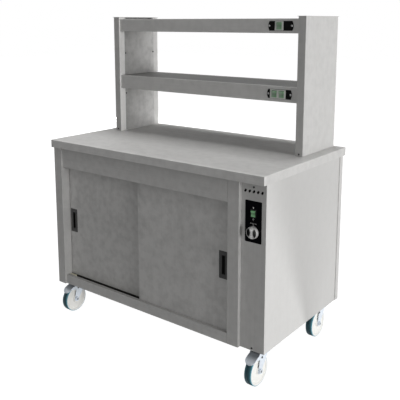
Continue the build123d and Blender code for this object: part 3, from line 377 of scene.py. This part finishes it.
dress(steel["worktop"], "worktop")
dress(steel["shelves"], "upper_shelf", "upright_caps")
dress(steel["lower_shelf"], "lower_shelf")
dress(steel["rails"], "door_header", "base_pan")
dress(steel["sill"], "sill")
dress(steel["posts"], "left_front_post", "door_post", "control_fascia")
dress(steel["uprights"], "left_upright", "right_upright")
dress(steel["left_door"], "left_door_skin")
dress(steel["right_door"], "right_door_skin")
dress(steel["panels"], "back_panel")
dress(steel["covers"], "upright_covers")
dress(steel["sides"], "left_side_panel", "right_side_panel")
dress(steel["inside"], "left_door_inner_skin", "right_door_inner_skin", "cabinet_liner", "element_cover")
dress(steel["inside"], "shelf_supports", "middle_shelf")
print("steel on", len(dressed), "parts")

# %% [markdown]
# ## Bright zinc, cream wheels and blue-green treads
# The castors are bought in, so they look different from the sheet metal. Their forks are zinc-plated,
# which is bluish and slightly spangled: Voronoi cells give the spangle. The hood of a brake has a painted
# shadow on top, so its tone drops with height, and painted light at its lower edge. The wheels are cream
# nylon. The tread is a dark blue-green rubber with a fine grain and a painted sheen on its shoulders, and
# its side walls are nearly as pale as the wheels.


# %% Zinc
def zinc_plate(name, shade=None, metallic=0.4):
    """Bluish plating with a spangle and soft stains."""
    colour = (0.74, 0.80, 0.87)
    material, tree, shader, place = finish(name, colour, 0.34, metallic)
    cells = add(tree, "ShaderNodeTexVoronoi", Vector=place, Scale=420.0).outputs["Color"]
    spangle = add(tree, "ShaderNodeSeparateColor", Color=cells).outputs[0]
    stain = stretched_noise(tree, place, (60, 60, 60), 4.0)
    plate = tint(tree, weighted(tree, (spangle, 0.25), (stain, 0.6)), colour, 0.82, 1.16)
    if shade:
        plate = scaled(tree, plate, shade(tree, place))
    wire(tree, plate, shader, "Base Color")
    wire(tree, vary(tree, stain, 0.26, 0.42), shader, "Roughness")
    relief(tree, shader, stain, 0.0002, 0.2)
    return material


def painted_hood_shadow(low, high):
    """Painted shadow on top of the hood between a brake's cheeks, and painted light at its lower edge."""
    middle_x, half_width = (low.x + high.x) / 2, (high.x - low.x) / 2
    skin = 0.0003
    lip, crest = 0.008, 0.002

    def shade(tree, place):
        across, _, height = axes_of(tree, place)
        aside = calc(tree, "ABSOLUTE", calc(tree, "SUBTRACT", across, middle_x))
        cheek = calc(tree, "GREATER_THAN", aside, half_width - skin)
        fading = vary(tree, height, 1.1, 0.2, low.z + lip, high.z - crest)
        return calc(tree, "MAXIMUM", cheek, fading)
    return shade


def axle_shade(axle):
    """The head of the axle bolt, in the middle of a leg's lower end, is darker than the plate round it."""
    head_radius = 0.0055

    def shade(tree, place):
        _, radius = round_axis(tree, place, axle, (0, 1, 1))
        return vary(tree, calc(tree, "GREATER_THAN", radius, head_radius), 0.2, 1.0)
    return shade


print("zinc ready")


# %% Wheels and treads
def moulded(name, colour, roughness, grain=900.0, depth=0.00008, dark=0.94, light=1.05, shine=0.5):
    """A moulded plastic or rubber: a fine grain, and slow changes of tone."""
    material, tree, shader, place = finish(name, colour, roughness, shine=shine)
    skin = stretched_noise(tree, place, (grain, grain, grain), 3.0)
    slow = stretched_noise(tree, place, (25, 25, 25), 3.0)
    value = weighted(tree, (skin, 0.3), (slow, 0.8))
    wire(tree, tint(tree, value, colour, dark, light), shader, "Base Color")
    wire(tree, vary(tree, slow, roughness - 0.05, roughness + 0.05), shader, "Roughness")
    relief(tree, shader, skin, depth, 0.5)
    return material


def crowned_rubber(name, centre, half_width):
    """Tread rubber. Its crown is a dome that falls off to both edges, where the pale side walls begin."""
    colour = (0.045, 0.115, 0.14)
    wall_colour = (0.62, 0.7, 0.74, 1)
    material, tree, shader, place = finish(name, colour, 0.5, shine=0.15)
    skin = stretched_noise(tree, place, (700, 700, 700), 3.0)
    across = calc(tree, "DIVIDE", calc(tree, "SUBTRACT", axes_of(tree, place)[0], centre), half_width)
    fall = calc(tree, "MULTIPLY", across, across)
    # Painted sheen: the shoulders are paler, where light catches the rounded tread.
    shoulder_sheen = vary(tree, fall, 0.8, 3.4, 0.1, 0.6)
    rubber = scaled(tree, tint(tree, skin, colour, 0.75, 1.25), shoulder_sheen)
    wall = calc(tree, "GREATER_THAN", fall, 0.97)
    wire(tree, mixed(tree, wall, rubber, wall_colour), shader, "Base Color")
    domed_relief(tree, shader, fall, 1.3 * half_width, skin, 0.0002, 0.5)
    return material


print("wheels and treads ready")

# %% Dress the castors
pivots = {joint["name"]: Vector(joint["pos_m"]) for joint in frame["joints"] if "pos_m" in joint}
cream = moulded("wheel_cream", (0.9, 0.895, 0.86), 0.42)
for place_name in ("front_left", "front_right", "rear_left", "rear_right"):
    low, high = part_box(f"castor_tyre_{place_name}")
    tread = crowned_rubber(f"tread_{place_name}", (low.x + high.x) / 2, (high.x - low.x) / 2)
    axle = pivots[f"wheel_{place_name}_roll"]
    dress(zinc_plate(f"fork_zinc_{place_name}", axle_shade(axle)), f"castor_fork_{place_name}")
    dress(cream, f"castor_wheel_{place_name}")
    dress(tread, f"castor_tyre_{place_name}")
dress(zinc_plate("castor_zinc"), "castor_plates")
for name in ("brake_pedal_front_left", "brake_pedal_front_right"):
    dress(zinc_plate(name + "_zinc", painted_hood_shadow(*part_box(name)), 0.2), name)
print("castors dressed, with", len(pivots), "pivots known")

# %% [markdown]
# ## Controls
# The label plate and the gantry's switch plates are black. The rockers are green lenses, in a black frame
# on the label and in pale frames on the gantry. Each lens has painted shade along its valley and painted
# light at its two ends, which a ramp over the height gives, and a painted highlight over its left side.
# The knob is spun aluminium, so its grain runs in rings round its axis. Its two scoops carry painted shade,
# and the bar between them a painted highlight. The pulls on the doors are dark plates whose cups carry a
# painted shadow, so their tone drops with depth.

# %% Plates and sockets
label_black = moulded("label_black", (0.003, 0.003, 0.004), 0.5, 1200.0, 0.00003, 0.7, 1.4, 0.02)
plate_black = moulded("plate_black", (0.005, 0.005, 0.005), 0.45, 800.0, 0.00005, 0.7, 1.4, 0.08)
socket_black = moulded("control_black", (0.03, 0.03, 0.03), 0.5)
runner_nylon = moulded("runner_nylon", (0.82, 0.78, 0.60), 0.45)
holder_ceramic = moulded("holder_ceramic", (0.82, 0.80, 0.75), 0.6, 500.0, 0.0002)
dress(label_black, "control_label_plate")
dress(plate_black, "switch_plates")
dress(socket_black, "thermostat", "terminal_block", "cable_gland")
dress(runner_nylon, "door_runners")
dress(holder_ceramic, "lamp_holders")
print("plates and sockets dressed")

# %% Switches
gantry_level = 1.0


def two_tone_frame(name, level):
    """The main switch has a black frame. The gantry's switches, above the level, have pale ones."""
    colour = (0.62, 0.63, 0.6)
    material, tree, shader, place = finish(name, colour, 0.4, shine=0.2)
    high = calc(tree, "GREATER_THAN", axes_of(tree, place)[2], level)
    skin = stretched_noise(tree, place, (900, 900, 900), 3.0)
    value = weighted(tree, (high, 0.9), (skin, 0.1))
    wire(tree, tint(tree, value, colour, 0.0, 1.05), shader, "Base Color")
    relief(tree, shader, skin, 0.00004)
    return material


def green_lens(name, centre, half, haze, colour):
    """Painted shade in the lens's valley, painted light at its ends, a painted highlight on its left side.
    """
    glare_colour = (0.4, 0.43, 0.4, 1)
    material, tree, shader, place = finish(name, colour, 0.22)
    across, _, height = axes_of(tree, place)
    from_valley = calc(tree, "ABSOLUTE", calc(tree, "SUBTRACT", height, centre.z))
    # Painted shade along the valley and painted light towards both ends.
    share = vary(tree, from_valley, 0.0, 1.0, 0.0, half.z)
    streak = stretched_noise(tree, place, (500, 500, 90), 2.0)
    green = tint(tree, weighted(tree, (share, 0.9), (streak, 0.35)), colour, 0.55, 1.45)
    # Painted highlight: a pale mix over the left side; the haze argument sets its strength.
    glare_share = vary(tree, across, haze, haze / 4, centre.x - half.x, centre.x + half.x)
    wire(tree, mixed(tree, glare_share, green, glare_colour), shader, "Base Color")
    relief(tree, shader, streak, 0.00006, 0.3)
    shader.inputs["Coat Weight"].default_value = 0.3
    return material


def middle(name):
    """The centre of a part, and half its size."""
    low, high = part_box(name)
    return (low + high) / 2, (high - low) / 2


dress(two_tone_frame("switch_frame", gantry_level), "switch_bodies")
for name in ("main_rocker", "upper_rocker", "lower_left_rocker", "lower_right_rocker"):
    centre, half = middle(name)
    lit = name == "main_rocker"
    green = (0.22, 0.52, 0.24) if lit else (0.13, 0.31, 0.145)
    dress(green_lens(name + "_lens", centre, half, 0.1 if lit else 0.55, green), name)
    print(name, "at", tuple(round(c, 4) for c in centre))


# %% Knob and pulls
def spun_metal(name, centre, face, rim):
    """Rings round an axis from front to back. Inside the rim, below the face is black painted shade."""
    colour = (0.74, 0.74, 0.73)
    scoop_shade_colour = (0.04, 0.04, 0.04, 1)
    skin = 0.0012
    bar_start, bar_stop = 0.004, 0.006
    material, tree, shader, place = finish(name, colour, 0.3, metallic=0.3)
    flat, radius = round_axis(tree, place, centre, (1, 0, 1))
    rings = add(tree, "ShaderNodeTexNoise", {"noise_dimensions": "1D"}, W=radius, Scale=2600.0, Detail=2.0)
    rings = rings.outputs[0]
    # Painted shade in the two scoops, inside the rim and below the face.
    deep = calc(tree, "GREATER_THAN", axes_of(tree, place)[1], face + skin)
    scoop_shade = calc(tree, "MULTIPLY", deep, calc(tree, "LESS_THAN", radius, rim))
    aside = calc(tree, "ABSOLUTE", axes_of(tree, flat)[0])
    # Painted highlight on the bar between the scoops.
    bar_highlight = vary(tree, aside, 1.4, 0.95, bar_start, bar_stop)
    bare = scaled(tree, tint(tree, rings, colour, 0.82, 1.15), bar_highlight)
    wire(tree, mixed(tree, scoop_shade, bare, scoop_shade_colour), shader, "Base Color")
    domed_relief(tree, shader, calc(tree, "MULTIPLY", radius, radius), 0.8 / rim, rings, 0.0001, 0.4)
    return material


def shaded_pull(name, face, depth):
    """Dark grey on the plate, falling to black at the bottom of the cup."""
    colour = (0.065, 0.065, 0.065)
    material, tree, shader, place = finish(name, colour, 0.4)
    lit = vary(tree, axes_of(tree, place)[1], 0.0, 1.0, face + depth, face)
    grain = stretched_noise(tree, place, (700, 700, 60), 3.0)
    value = weighted(tree, (lit, 1.0), (grain, 0.25))
    wire(tree, tint(tree, value, colour, 0.06, 1.15), shader, "Base Color")
    relief(tree, shader, grain, 0.00008, 0.4)
    return material


knob_rim = 0.0225
pull_depth = 0.008
knob_centre, knob_half = middle("thermostat_knob")
dress(spun_metal("knob_metal", knob_centre, knob_centre.y - knob_half.y, knob_rim), "thermostat_knob")
for name in ("left_door_handle", "right_door_handle"):
    low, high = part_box(name)
    dress(shaded_pull(name + "_grey", low.y, pull_depth), name)
print("controls dressed; knob at", tuple(round(c, 4) for c in knob_centre))

# %% [markdown]
# ## Screws, lamps and what stays inside
# Most screws look almost black in the picture, and the four in the switch plates are bright. One finish
# does both: it turns bright on the gantry, between the uprights. The lamps are clear quartz, and the
# reflectors are bright aluminium. The wool is painted nearly black as painted shade, since it is what shows
# through the vents. The element is only seen when the cupboard is taken apart, but it gets its own finish
# too.


# %% Screws, lamps and inner finishes
def screw_steel(name, level, reach):
    """Nearly black, but bright above the level and within reach of the middle."""
    colour = (0.5, 0.5, 0.5)
    material, tree, shader, place = finish(name, colour, 0.35, metallic=1.0)
    across, _, height = axes_of(tree, place)
    inner = calc(tree, "LESS_THAN", calc(tree, "ABSOLUTE", across), reach)
    bright = calc(tree, "MULTIPLY", inner, calc(tree, "GREATER_THAN", height, level))
    worn = stretched_noise(tree, place, (900, 900, 900), 2.0)
    value = weighted(tree, (bright, 0.8), (worn, 0.2))
    wire(tree, tint(tree, value, colour, 0.02, 1.7), shader, "Base Color")
    relief(tree, shader, worn, 0.0001, 0.3)
    return material


def clear_quartz(name):
    """Clear glass with a faint haze along the tube."""
    material, tree, shader, place = finish(name, (0.97, 0.97, 0.97), 0.04)
    shader.inputs["Transmission Weight"].default_value = 1.0
    shader.inputs["IOR"].default_value = 1.46
    haze = stretched_noise(tree, place, (40, 300, 300), 3.0)
    wire(tree, vary(tree, haze, 0.02, 0.12), shader, "Roughness")
    relief(tree, shader, haze, 0.00005, 0.2)
    return material


def mineral_wool(name):
    """Fibres in soft clumps, painted nearly black as the shade that shows through the vents."""
    colour = (0.012, 0.011, 0.01)
    material, tree, shader, place = finish(name, colour, 0.95)
    fibres = stretched_noise(tree, place, (900, 120, 900), 5.0)
    clumps = stretched_noise(tree, place, (60, 60, 60), 3.0)
    value = weighted(tree, (fibres, 0.7), (clumps, 0.6))
    wire(tree, tint(tree, value, colour, 0.6, 1.35), shader, "Base Color")
    relief(tree, shader, value, 0.002, 0.8)
    return material


between_uprights = 0.505
dress(screw_steel("screw_steel", gantry_level, between_uprights), "panel_screws")
dress(satin_steel("bolt_steel", "Z", (0.42, 0.42, 0.42), 0.4, 0.5, (9, 1, 1)), "frame_bolts")
dress(clear_quartz("lamp_quartz"), "quartz_lamps")
dress(satin_steel("reflector_sheet", "X", (0.8, 0.8, 0.8), 0.18, 0.2, (4, 4, 1)), "lamp_reflectors")
dress(mineral_wool("mineral_wool"), "insulation_slabs")
dress(satin_steel("element_sheath", "X", (0.2, 0.19, 0.18), 0.5, 0.9, (2, 2, 9)), "heating_element")
bare = sorted(set(parts) - set(dressed))
print("finishes on", len(dressed), "parts, none left bare" if not bare else bare)

# %% [markdown]
# ## Crosses in the screw heads
# Each panel screw has a cross recess. There are sixteen, in three directions, so this is a job for
# Geometry Nodes: one small cross is made in the tree and set on every point, turned to the way that its
# screw faces. The points come from the screws themselves: their vertices are gathered into groups, and
# the longer side of each group tells which way the shank runs.


# %% Find the screws
def corners(points):
    """The lowest and the highest corner of some points."""
    low = Vector([min(p[i] for p in points) for i in range(3)])
    high = Vector([max(p[i] for p in points) for i in range(3)])
    return low, high


def gathered(name, reach):
    """The boxes of the separate solids in a part, from vertices that lie within reach of each other."""
    groups = []
    for vertex in parts[name].data.vertices:
        home = next((g for g in groups if (g[0] - vertex.co).length < reach), None)
        if home is None:
            groups.append([vertex.co.copy()])
        else:
            home.append(vertex.co.copy())
    return [corners(group) for group in groups]


screw_reach = 0.016
screw_heads = []
for low, high in gathered("panel_screws", screw_reach):
    centre = (low + high) / 2
    if high.x - low.x > high.y - low.y:
        side = -1 if centre.x > 0 else 1
        head_x = low.x if side < 0 else high.x
        screw_heads.append((Vector((head_x, centre.y, centre.z)), Vector((side, 0, 0))))
    else:
        screw_heads.append((Vector((centre.x, low.y, centre.z)), Vector((0, -1, 0))))
print("screw heads", len(screw_heads))


# %% Geometry Nodes helpers
def new_tree(name, *sizes):
    """An empty geometry tree with named inputs for its sizes and its finish."""
    tree = bpy.data.node_groups.new(name, "GeometryNodeTree")
    tree.interface.new_socket("Geometry", in_out="INPUT", socket_type="NodeSocketGeometry")
    for label in sizes:
        tree.interface.new_socket(label, in_out="INPUT", socket_type="NodeSocketFloat")
    tree.interface.new_socket("Material", in_out="INPUT", socket_type="NodeSocketMaterial")
    tree.interface.new_socket("Geometry", in_out="OUTPUT", socket_type="NodeSocketGeometry")
    return tree, tree.nodes.new("NodeGroupInput"), tree.nodes.new("NodeGroupOutput")


def end_tree(tree, geometry, given, result):
    """Makes the copies real and gives them their finish, as the export needs."""
    real = add(tree, "GeometryNodeRealizeInstances", Geometry=geometry)
    painted = add(tree, "GeometryNodeSetMaterial", Geometry=real.outputs[0],
                  Material=given.outputs["Material"])
    tree.links.new(painted.outputs[0], result.inputs[0])


def set_on_points(tree, shape, given, result):
    """Ends a tree with a copy of the shape on every point, turned to the way that the point faces."""
    facing = add(tree, "GeometryNodeInputNamedAttribute", {"data_type": "FLOAT_VECTOR"}, Name="facing")
    turn = add(tree, "FunctionNodeAlignRotationToVector", {"axis": "Z"}, Vector=facing.outputs[0])
    spread = add(tree, "GeometryNodeInstanceOnPoints", Points=given.outputs["Geometry"], Instance=shape,
                 Rotation=turn.outputs[0])
    end_tree(tree, spread.outputs[0], given, result)


def grow(name, mesh, tree, values):
    """Runs a tree on a mesh and keeps the result as a plain mesh."""
    source = bpy.data.objects.new(name + "_source", mesh)
    scene.collection.objects.link(source)
    modifier = source.modifiers.new("nodes", "NODES")
    modifier.node_group = tree
    sockets = {s.name: s.identifier for s in tree.interface.items_tree if s.in_out == "INPUT"}
    for label, value in values.items():
        modifier[sockets[label]] = value
    view = bpy.context.evaluated_depsgraph_get()
    made = bpy.data.meshes.new_from_object(source.evaluated_get(view))
    source.modifiers.clear()
    bpy.data.objects.remove(source)
    piece = bpy.data.objects.new(name, made)
    scene.collection.objects.link(piece)
    print("grew", name, len(made.polygons), "faces")
    return piece


def point_mesh(name, places, facings=()):
    """Loose points, each with the way that it faces."""
    mesh = bpy.data.meshes.new(name)
    mesh.from_pydata([tuple(p) for p in places], [], [])
    if facings:
        attribute = mesh.attributes.new("facing", "FLOAT_VECTOR", "POINT")
        for item, facing in zip(attribute.data, facings):
            item.vector = facing
    return mesh


print("geometry helpers ready")

# %% Screw crosses
cross_tree, given, result = new_tree("screw_cross", "Length", "Width", "Depth")
cross = add(cross_tree, "GeometryNodeJoinGeometry")
for first, second in (("Length", "Width"), ("Width", "Length")):
    size = add(cross_tree, "ShaderNodeCombineXYZ", X=given.outputs[first], Y=given.outputs[second],
               Z=given.outputs["Depth"])
    bar = add(cross_tree, "GeometryNodeMeshCube", Size=size.outputs[0])
    cross_tree.links.new(bar.outputs[0], cross.inputs[0])
set_on_points(cross_tree, cross.outputs[0], given, result)

# Painted shade: the crosses are nearly black, for the shadow down in each screw's recess.
recess_dark = moulded("recess_dark", (0.008, 0.008, 0.008), 0.6)
heads = point_mesh("screw_points", [p for p, _ in screw_heads], [f for _, f in screw_heads])
cross_sizes = {"Length": 0.0036, "Width": 0.0009, "Depth": 0.0002, "Material": recess_dark}
crosses = grow("screw_crosses", heads, cross_tree, cross_sizes)
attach(crosses, "cabinet")

# %% [markdown]
# ## Dark rivets on the castors
# Each fork leg has one dark head high up on its outer face. On the front castors it is the end of the pin
# that the brake turns on, so it rides on the brake. On the rear castors it sits in the leg itself. A low
# cone is set on every point, in the same way as the crosses.

# %% Castor rivets
rivet_tree, given, result = new_tree("castor_rivet", "Radius", "Top", "Height")
head = add(rivet_tree, "GeometryNodeMeshCone", Vertices=20, Radius_Top=given.outputs["Top"],
           Radius_Bottom=given.outputs["Radius"], Depth=given.outputs["Height"])
set_on_points(rivet_tree, head.outputs[0], given, result)

rivet_dark = moulded("rivet_dark", (0.015, 0.017, 0.022), 0.6, shine=0.15)
rivet_sizes = {"Radius": 0.005, "Top": 0.004, "Height": 0.0012, "Material": rivet_dark}
cheek_to_leg = 0.0026
cheek = middle("brake_pedal_front_left")[1].x
leg = cheek - cheek_to_leg
rear_rivet = Vector((0, 0.003, 0.052))
facings = [Vector((-1, 0, 0)), Vector((1, 0, 0))]
for side in ("left", "right"):
    for body, pin, reach in (
        (f"brake_front_{side}", pivots[f"brake_front_{side}_press"], cheek),
        (f"swivel_rear_{side}", pivots[f"wheel_rear_{side}_roll"] + rear_rivet, leg),
    ):
        ends = point_mesh(body + "_ends", [pin + reach * f for f in facings], facings)
        rivets = grow(body + "_rivets", ends, rivet_tree, rivet_sizes)
        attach(rivets, body)

# %% [markdown]
# ## Filaments in the lamps
# A quartz heat lamp is a clear tube round a long coiled tungsten wire. From below, the coil is what
# shows. A coil follows a rule, so Geometry Nodes draws it: a spiral with no change of radius, swept with
# a thin round section. Turning it on its side and setting it in its tube is the last step. The tubes are
# the CAD solids, seen through.

# %% Filament tree
coil_tree, given, result = new_tree("filament", "Length", "Turns", "Radius", "Wire")
radius = given.outputs["Radius"]
spiral = add(coil_tree, "GeometryNodeCurveSpiral", Resolution=8, Rotations=given.outputs["Turns"],
             Start_Radius=radius, End_Radius=radius, Height=given.outputs["Length"])
section = add(coil_tree, "GeometryNodeCurvePrimitiveCircle", Resolution=4, Radius=given.outputs["Wire"])
swept = add(coil_tree, "GeometryNodeCurveToMesh", Curve=spiral.outputs[0], Profile_Curve=section.outputs[0],
            Fill_Caps=True)
laid = add(coil_tree, "GeometryNodeTransform", Geometry=swept.outputs[0], Rotation=(0, math.pi / 2, 0))
strung = add(coil_tree, "GeometryNodeInstanceOnPoints", Points=given.outputs["Geometry"],
             Instance=laid.outputs[0])
end_tree(coil_tree, strung.outputs[0], given, result)
print("filament tree with", len(coil_tree.nodes), "nodes")

# %% Lamp filaments
tube_end = 0.018
coil_pitch = 0.004
between_tiers = 1.3
tungsten = satin_steel("tungsten", "X", (0.2, 0.19, 0.18), 0.35, 0.4)
tubes = {}
for vertex in parts["quartz_lamps"].data.vertices:
    tier = round(vertex.co.z, 1)
    tubes.setdefault((tier, tier < between_tiers and vertex.co.x > 0), []).append(vertex.co.copy())
for count, key in enumerate(sorted(tubes), 1):
    low, high = corners(tubes[key])
    first_x, last_x = low.x + tube_end, high.x - tube_end
    start = point_mesh("filament_start", [(first_x, (low.y + high.y) / 2, (low.z + high.z) / 2)])
    coil_sizes = {"Length": last_x - first_x, "Turns": (last_x - first_x) / coil_pitch, "Radius": 0.002}
    coil_sizes.update({"Wire": 0.00035, "Material": tungsten})
    coil = grow(f"lamp_filament_{count}", start, coil_tree, coil_sizes)
    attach(coil, "cabinet")

# %% [markdown]
# ## The knob's pointer and the label's marks
# The bar of the knob has a dark line at its upper end, which points at an arrow on the label. The label
# also has a bar over the rocker for on, a ring under it for off, and a word. All of it is print, so it is
# only a tenth of a millimetre thick. The line rides on the knob, the rest on the cabinet.


# %% Printed shapes
def solid_outline(name, points, y0, y1, material):
    """A flat shape in X and Z, given a thickness from front (y0) to back (y1)."""
    mesh = bpy.data.meshes.new(name)
    shape = bmesh.new()
    face = shape.faces.new([shape.verts.new((x, y1, z)) for x, z in points])
    pushed = bmesh.ops.extrude_face_region(shape, geom=[face])["geom"]
    front = [v for v in pushed if isinstance(v, bmesh.types.BMVert)]
    bmesh.ops.translate(shape, vec=(0, y0 - y1, 0), verts=front)
    bmesh.ops.recalc_face_normals(shape, faces=shape.faces)
    shape.to_mesh(mesh)
    shape.free()
    mesh.materials.append(material)
    piece = bpy.data.objects.new(name, mesh)
    scene.collection.objects.link(piece)
    return piece


def oblong(x, z, half_width, half_height):
    """The four corners of an upright rectangle."""
    return [(x - half_width, z - half_height), (x + half_width, z - half_height),
            (x + half_width, z + half_height), (x - half_width, z + half_height)]


def disc(x, z, radius, steps=24):
    """Points round a circle."""
    turns = [math.tau * i / steps for i in range(steps)]
    return [(x + radius * math.cos(a), z + radius * math.sin(a)) for a in turns]


print("outlines ready")

# %% Knob pointer
print_lift = 0.0001
print_pale = moulded("print_pale", (0.62, 0.62, 0.6), 0.6)
print_dark = moulded("print_dark", (0.02, 0.02, 0.02), 0.6)
line_up = 0.0165
line_half_width, line_half_height = 0.0007, 0.0035
knob_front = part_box("thermostat_knob")[0].y
line = oblong(knob_centre.x, knob_centre.z + line_up, line_half_width, line_half_height)
pointer = solid_outline("knob_line", line, knob_front - print_lift, knob_front + print_lift, print_dark)
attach(pointer, "thermostat_knob")
print("pointer in front of y", round(knob_front, 4))

# %% Label marks
label_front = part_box("control_label_plate")[0].y
rocker_centre, rocker_half = middle("main_rocker")
mark_gap = 0.0105
dot_lift = 0.00016
print_root = 0.00005
bar_half_width, bar_half_height = 0.002, 0.003
ring_radius, dot_radius = 0.0034, 0.0018
arrow_gap, arrow_half, arrow_height = 0.0012, 0.0026, 0.004
mark_x = knob_centre.x
above = rocker_centre.z + rocker_half.z + mark_gap
below = rocker_centre.z - rocker_half.z - mark_gap
arrow_z = knob_centre.z + knob_half.z + arrow_gap
arrow_top = arrow_z + arrow_height
arrow = [(mark_x - arrow_half, arrow_top), (mark_x, arrow_z), (mark_x + arrow_half, arrow_top)]
for name, points, lift, finish_of in (
    ("label_on_bar", oblong(mark_x, above, bar_half_width, bar_half_height), print_lift, print_pale),
    ("label_off_ring", disc(mark_x, below, ring_radius), print_lift, print_pale),
    ("label_off_dot", disc(mark_x, below, dot_radius), dot_lift, label_black),
    ("label_arrow", arrow, print_lift, print_pale),
):
    mark = solid_outline(name, points, label_front - lift, label_front + print_root, finish_of)
    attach(mark, "cabinet")
print("label marks between z", round(below, 4), "and", round(above, 4))

# %% Label word
word_lift = 0.0062
word = bpy.data.curves.new("label_word", "FONT")
word.body = "TEMPERATURE"
word.size = 0.0046
word.align_x = "CENTER"
word.extrude = 0.00008
carrier = bpy.data.objects.new("label_word", word)
scene.collection.objects.link(carrier)
letters = bpy.data.meshes.new_from_object(carrier.evaluated_get(bpy.context.evaluated_depsgraph_get()))
bpy.data.objects.remove(carrier)
letters.transform(Matrix.Rotation(math.pi / 2, 4, "X"))
letters.transform(Matrix.Translation((mark_x, label_front, arrow_z + word_lift)))
letters.materials.clear()
letters.materials.append(print_pale)
legend = bpy.data.objects.new("label_word", letters)
scene.collection.objects.link(legend)
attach(legend, "cabinet")
print("word of", len(letters.polygons), "faces")

# %% [markdown]
# ## The studio
# The picture has a plain white background, a pale right side and a mid-grey front. Steel shows what
# stands round it, so two grey cards stand in front of the object and behind it, as a photographer would
# place them, and only reflections see them. Five soft lamps light it. The key is far off on the right and
# only grazes the fronts, so they stay even. A second lamp stands lower and further back: it shines past
# the right upright onto the rear of the left one, and under the cupboard onto the castors. A weak lamp in
# front fills what both leave dark. One hangs overhead, and a low one stands at the rear for views of the
# back. No lamp shows in a reflection. The floor and the world are white to the camera and to reflections,
# and give a plain light to everything else. The floor takes a faint shadow near the object and fades to
# white.


# %% Studio helpers
def seen_directly(tree):
    """One for a ray from the camera, or one that was reflected or passed through glass."""
    path = tree.nodes.new("ShaderNodeLightPath").outputs
    either = calc(tree, "MAXIMUM", path["Is Camera Ray"], path["Is Glossy Ray"])
    return calc(tree, "MAXIMUM", either, path["Is Transmission Ray"])


def bare_material(name):
    """A material with nothing but its output."""
    material = bpy.data.materials.new(name)
    material.use_nodes = True
    tree = material.node_tree
    tree.nodes.clear()
    return material, tree, tree.nodes.new("ShaderNodeOutputMaterial").inputs["Surface"]


def studio_sheet(name, left, right, bends, material):
    """A flat or bent sheet. Its bends are places in Y and Z, from one edge to the other."""
    mesh = bpy.data.meshes.new(name)
    rows = [(x, y, z) for y, z in bends for x in (left, right)]
    mesh.from_pydata(rows, [], [(i, i + 1, i + 3, i + 2) for i in range(0, len(rows) - 2, 2)])
    mesh.materials.append(material)
    sheet = bpy.data.objects.new(name, mesh)
    scene.collection.objects.link(sheet)
    return sheet


print("studio helpers ready")

# %% World and floor
world_grey = (0.09, 0.09, 0.09, 1)
pure_white = (1, 1, 1, 1)
floor_half = 20
world = bpy.data.worlds.new("studio")
scene.world = world
world.use_nodes = True
sky = world.node_tree
ground = next(n for n in sky.nodes if n.type == "BACKGROUND")
sky.links.new(mixed(sky, seen_directly(sky), world_grey, pure_white), ground.inputs["Color"])

white, tree, surface = bare_material("studio_floor")
plain = add(tree, "ShaderNodeBsdfDiffuse", Color=(0.4, 0.4, 0.4, 1))
shadowed = add(tree, "ShaderNodeBsdfDiffuse", Color=(0.2, 0.2, 0.2, 1))
floor_place = tree.nodes.new("ShaderNodeTexCoord").outputs["Object"]
from_middle = add(tree, "ShaderNodeVectorMath", {"operation": "LENGTH"}, _0=floor_place).outputs["Value"]
fading = vary(tree, from_middle, 0.965, 1.0, 1.2, 3.0)
glow = add(tree, "ShaderNodeEmission", Color=pure_white, Strength=fading)
lit = add(tree, "ShaderNodeAddShader", _0=shadowed.outputs[0], _1=glow.outputs[0])
choice = add(tree, "ShaderNodeMixShader", _0=seen_directly(tree), _1=plain.outputs[0], _2=lit.outputs[0])
tree.links.new(choice.outputs[0], surface)
studio_sheet("floor", -floor_half, floor_half, ((-floor_half, 0), (floor_half, 0)), white)
print("world and floor ready")


# %% Cards
def grey_card(name, left, right, bends, tone):
    """A sheet that only reflections show."""
    material, tree, surface = bare_material(name)
    shine = add(tree, "ShaderNodeEmission", Color=(tone, tone, tone, 1), Strength=1.0)
    tree.links.new(shine.outputs[0], surface)
    card = studio_sheet(name, left, right, bends, material)
    card.visible_camera = card.visible_diffuse = card.visible_transmission = card.visible_shadow = False


grey_card("front_card", -4.5, 1.0, ((-0.45, 0.004), (-1.9, 0.004), (-1.9, 2.0)), 0.12)
grey_card("rear_card", -2.8, 0.5, ((1.0, 0.85), (1.0, 1.4)), 0.08)
print("two cards placed")


# %% Lamps
def softbox(name, place, aim, size, watts):
    """A soft lamp with a given width and height, which no reflection shows."""
    light = bpy.data.lights.new(name, "AREA")
    light.shape = "RECTANGLE"
    light.size, light.size_y = size
    light.energy = watts
    lamp = bpy.data.objects.new(name, light)
    lamp.location = place
    lamp.rotation_euler = (Vector(aim) - Vector(place)).to_track_quat("-Z", "Y").to_euler()
    lamp.visible_glossy = False
    scene.collection.objects.link(lamp)


softbox("key", (9.0, -1.6, 1.6), (0, 0, 0.9), (2.2, 2.3), 340)
softbox("low_right", (8.9, 1.4, 0.7), (0, 0, 0.9), (1.6, 1.3), 300)
softbox("front", (-1.5, -6.0, 1.4), (0, 0, 0.9), (3.0, 2.0), 49)
softbox("overhead", (0.2, 0.6, 6.0), (0.2, 0.6, 0.0), (1.6, 2.2), 210)
softbox("rear", (-5.0, 4.5, 0.6), (0, 0, 0.6), (1.1, 1.1), 170)
scene.view_settings.view_transform = "Standard"
print("studio ready with", len(bpy.data.lights), "lamps")
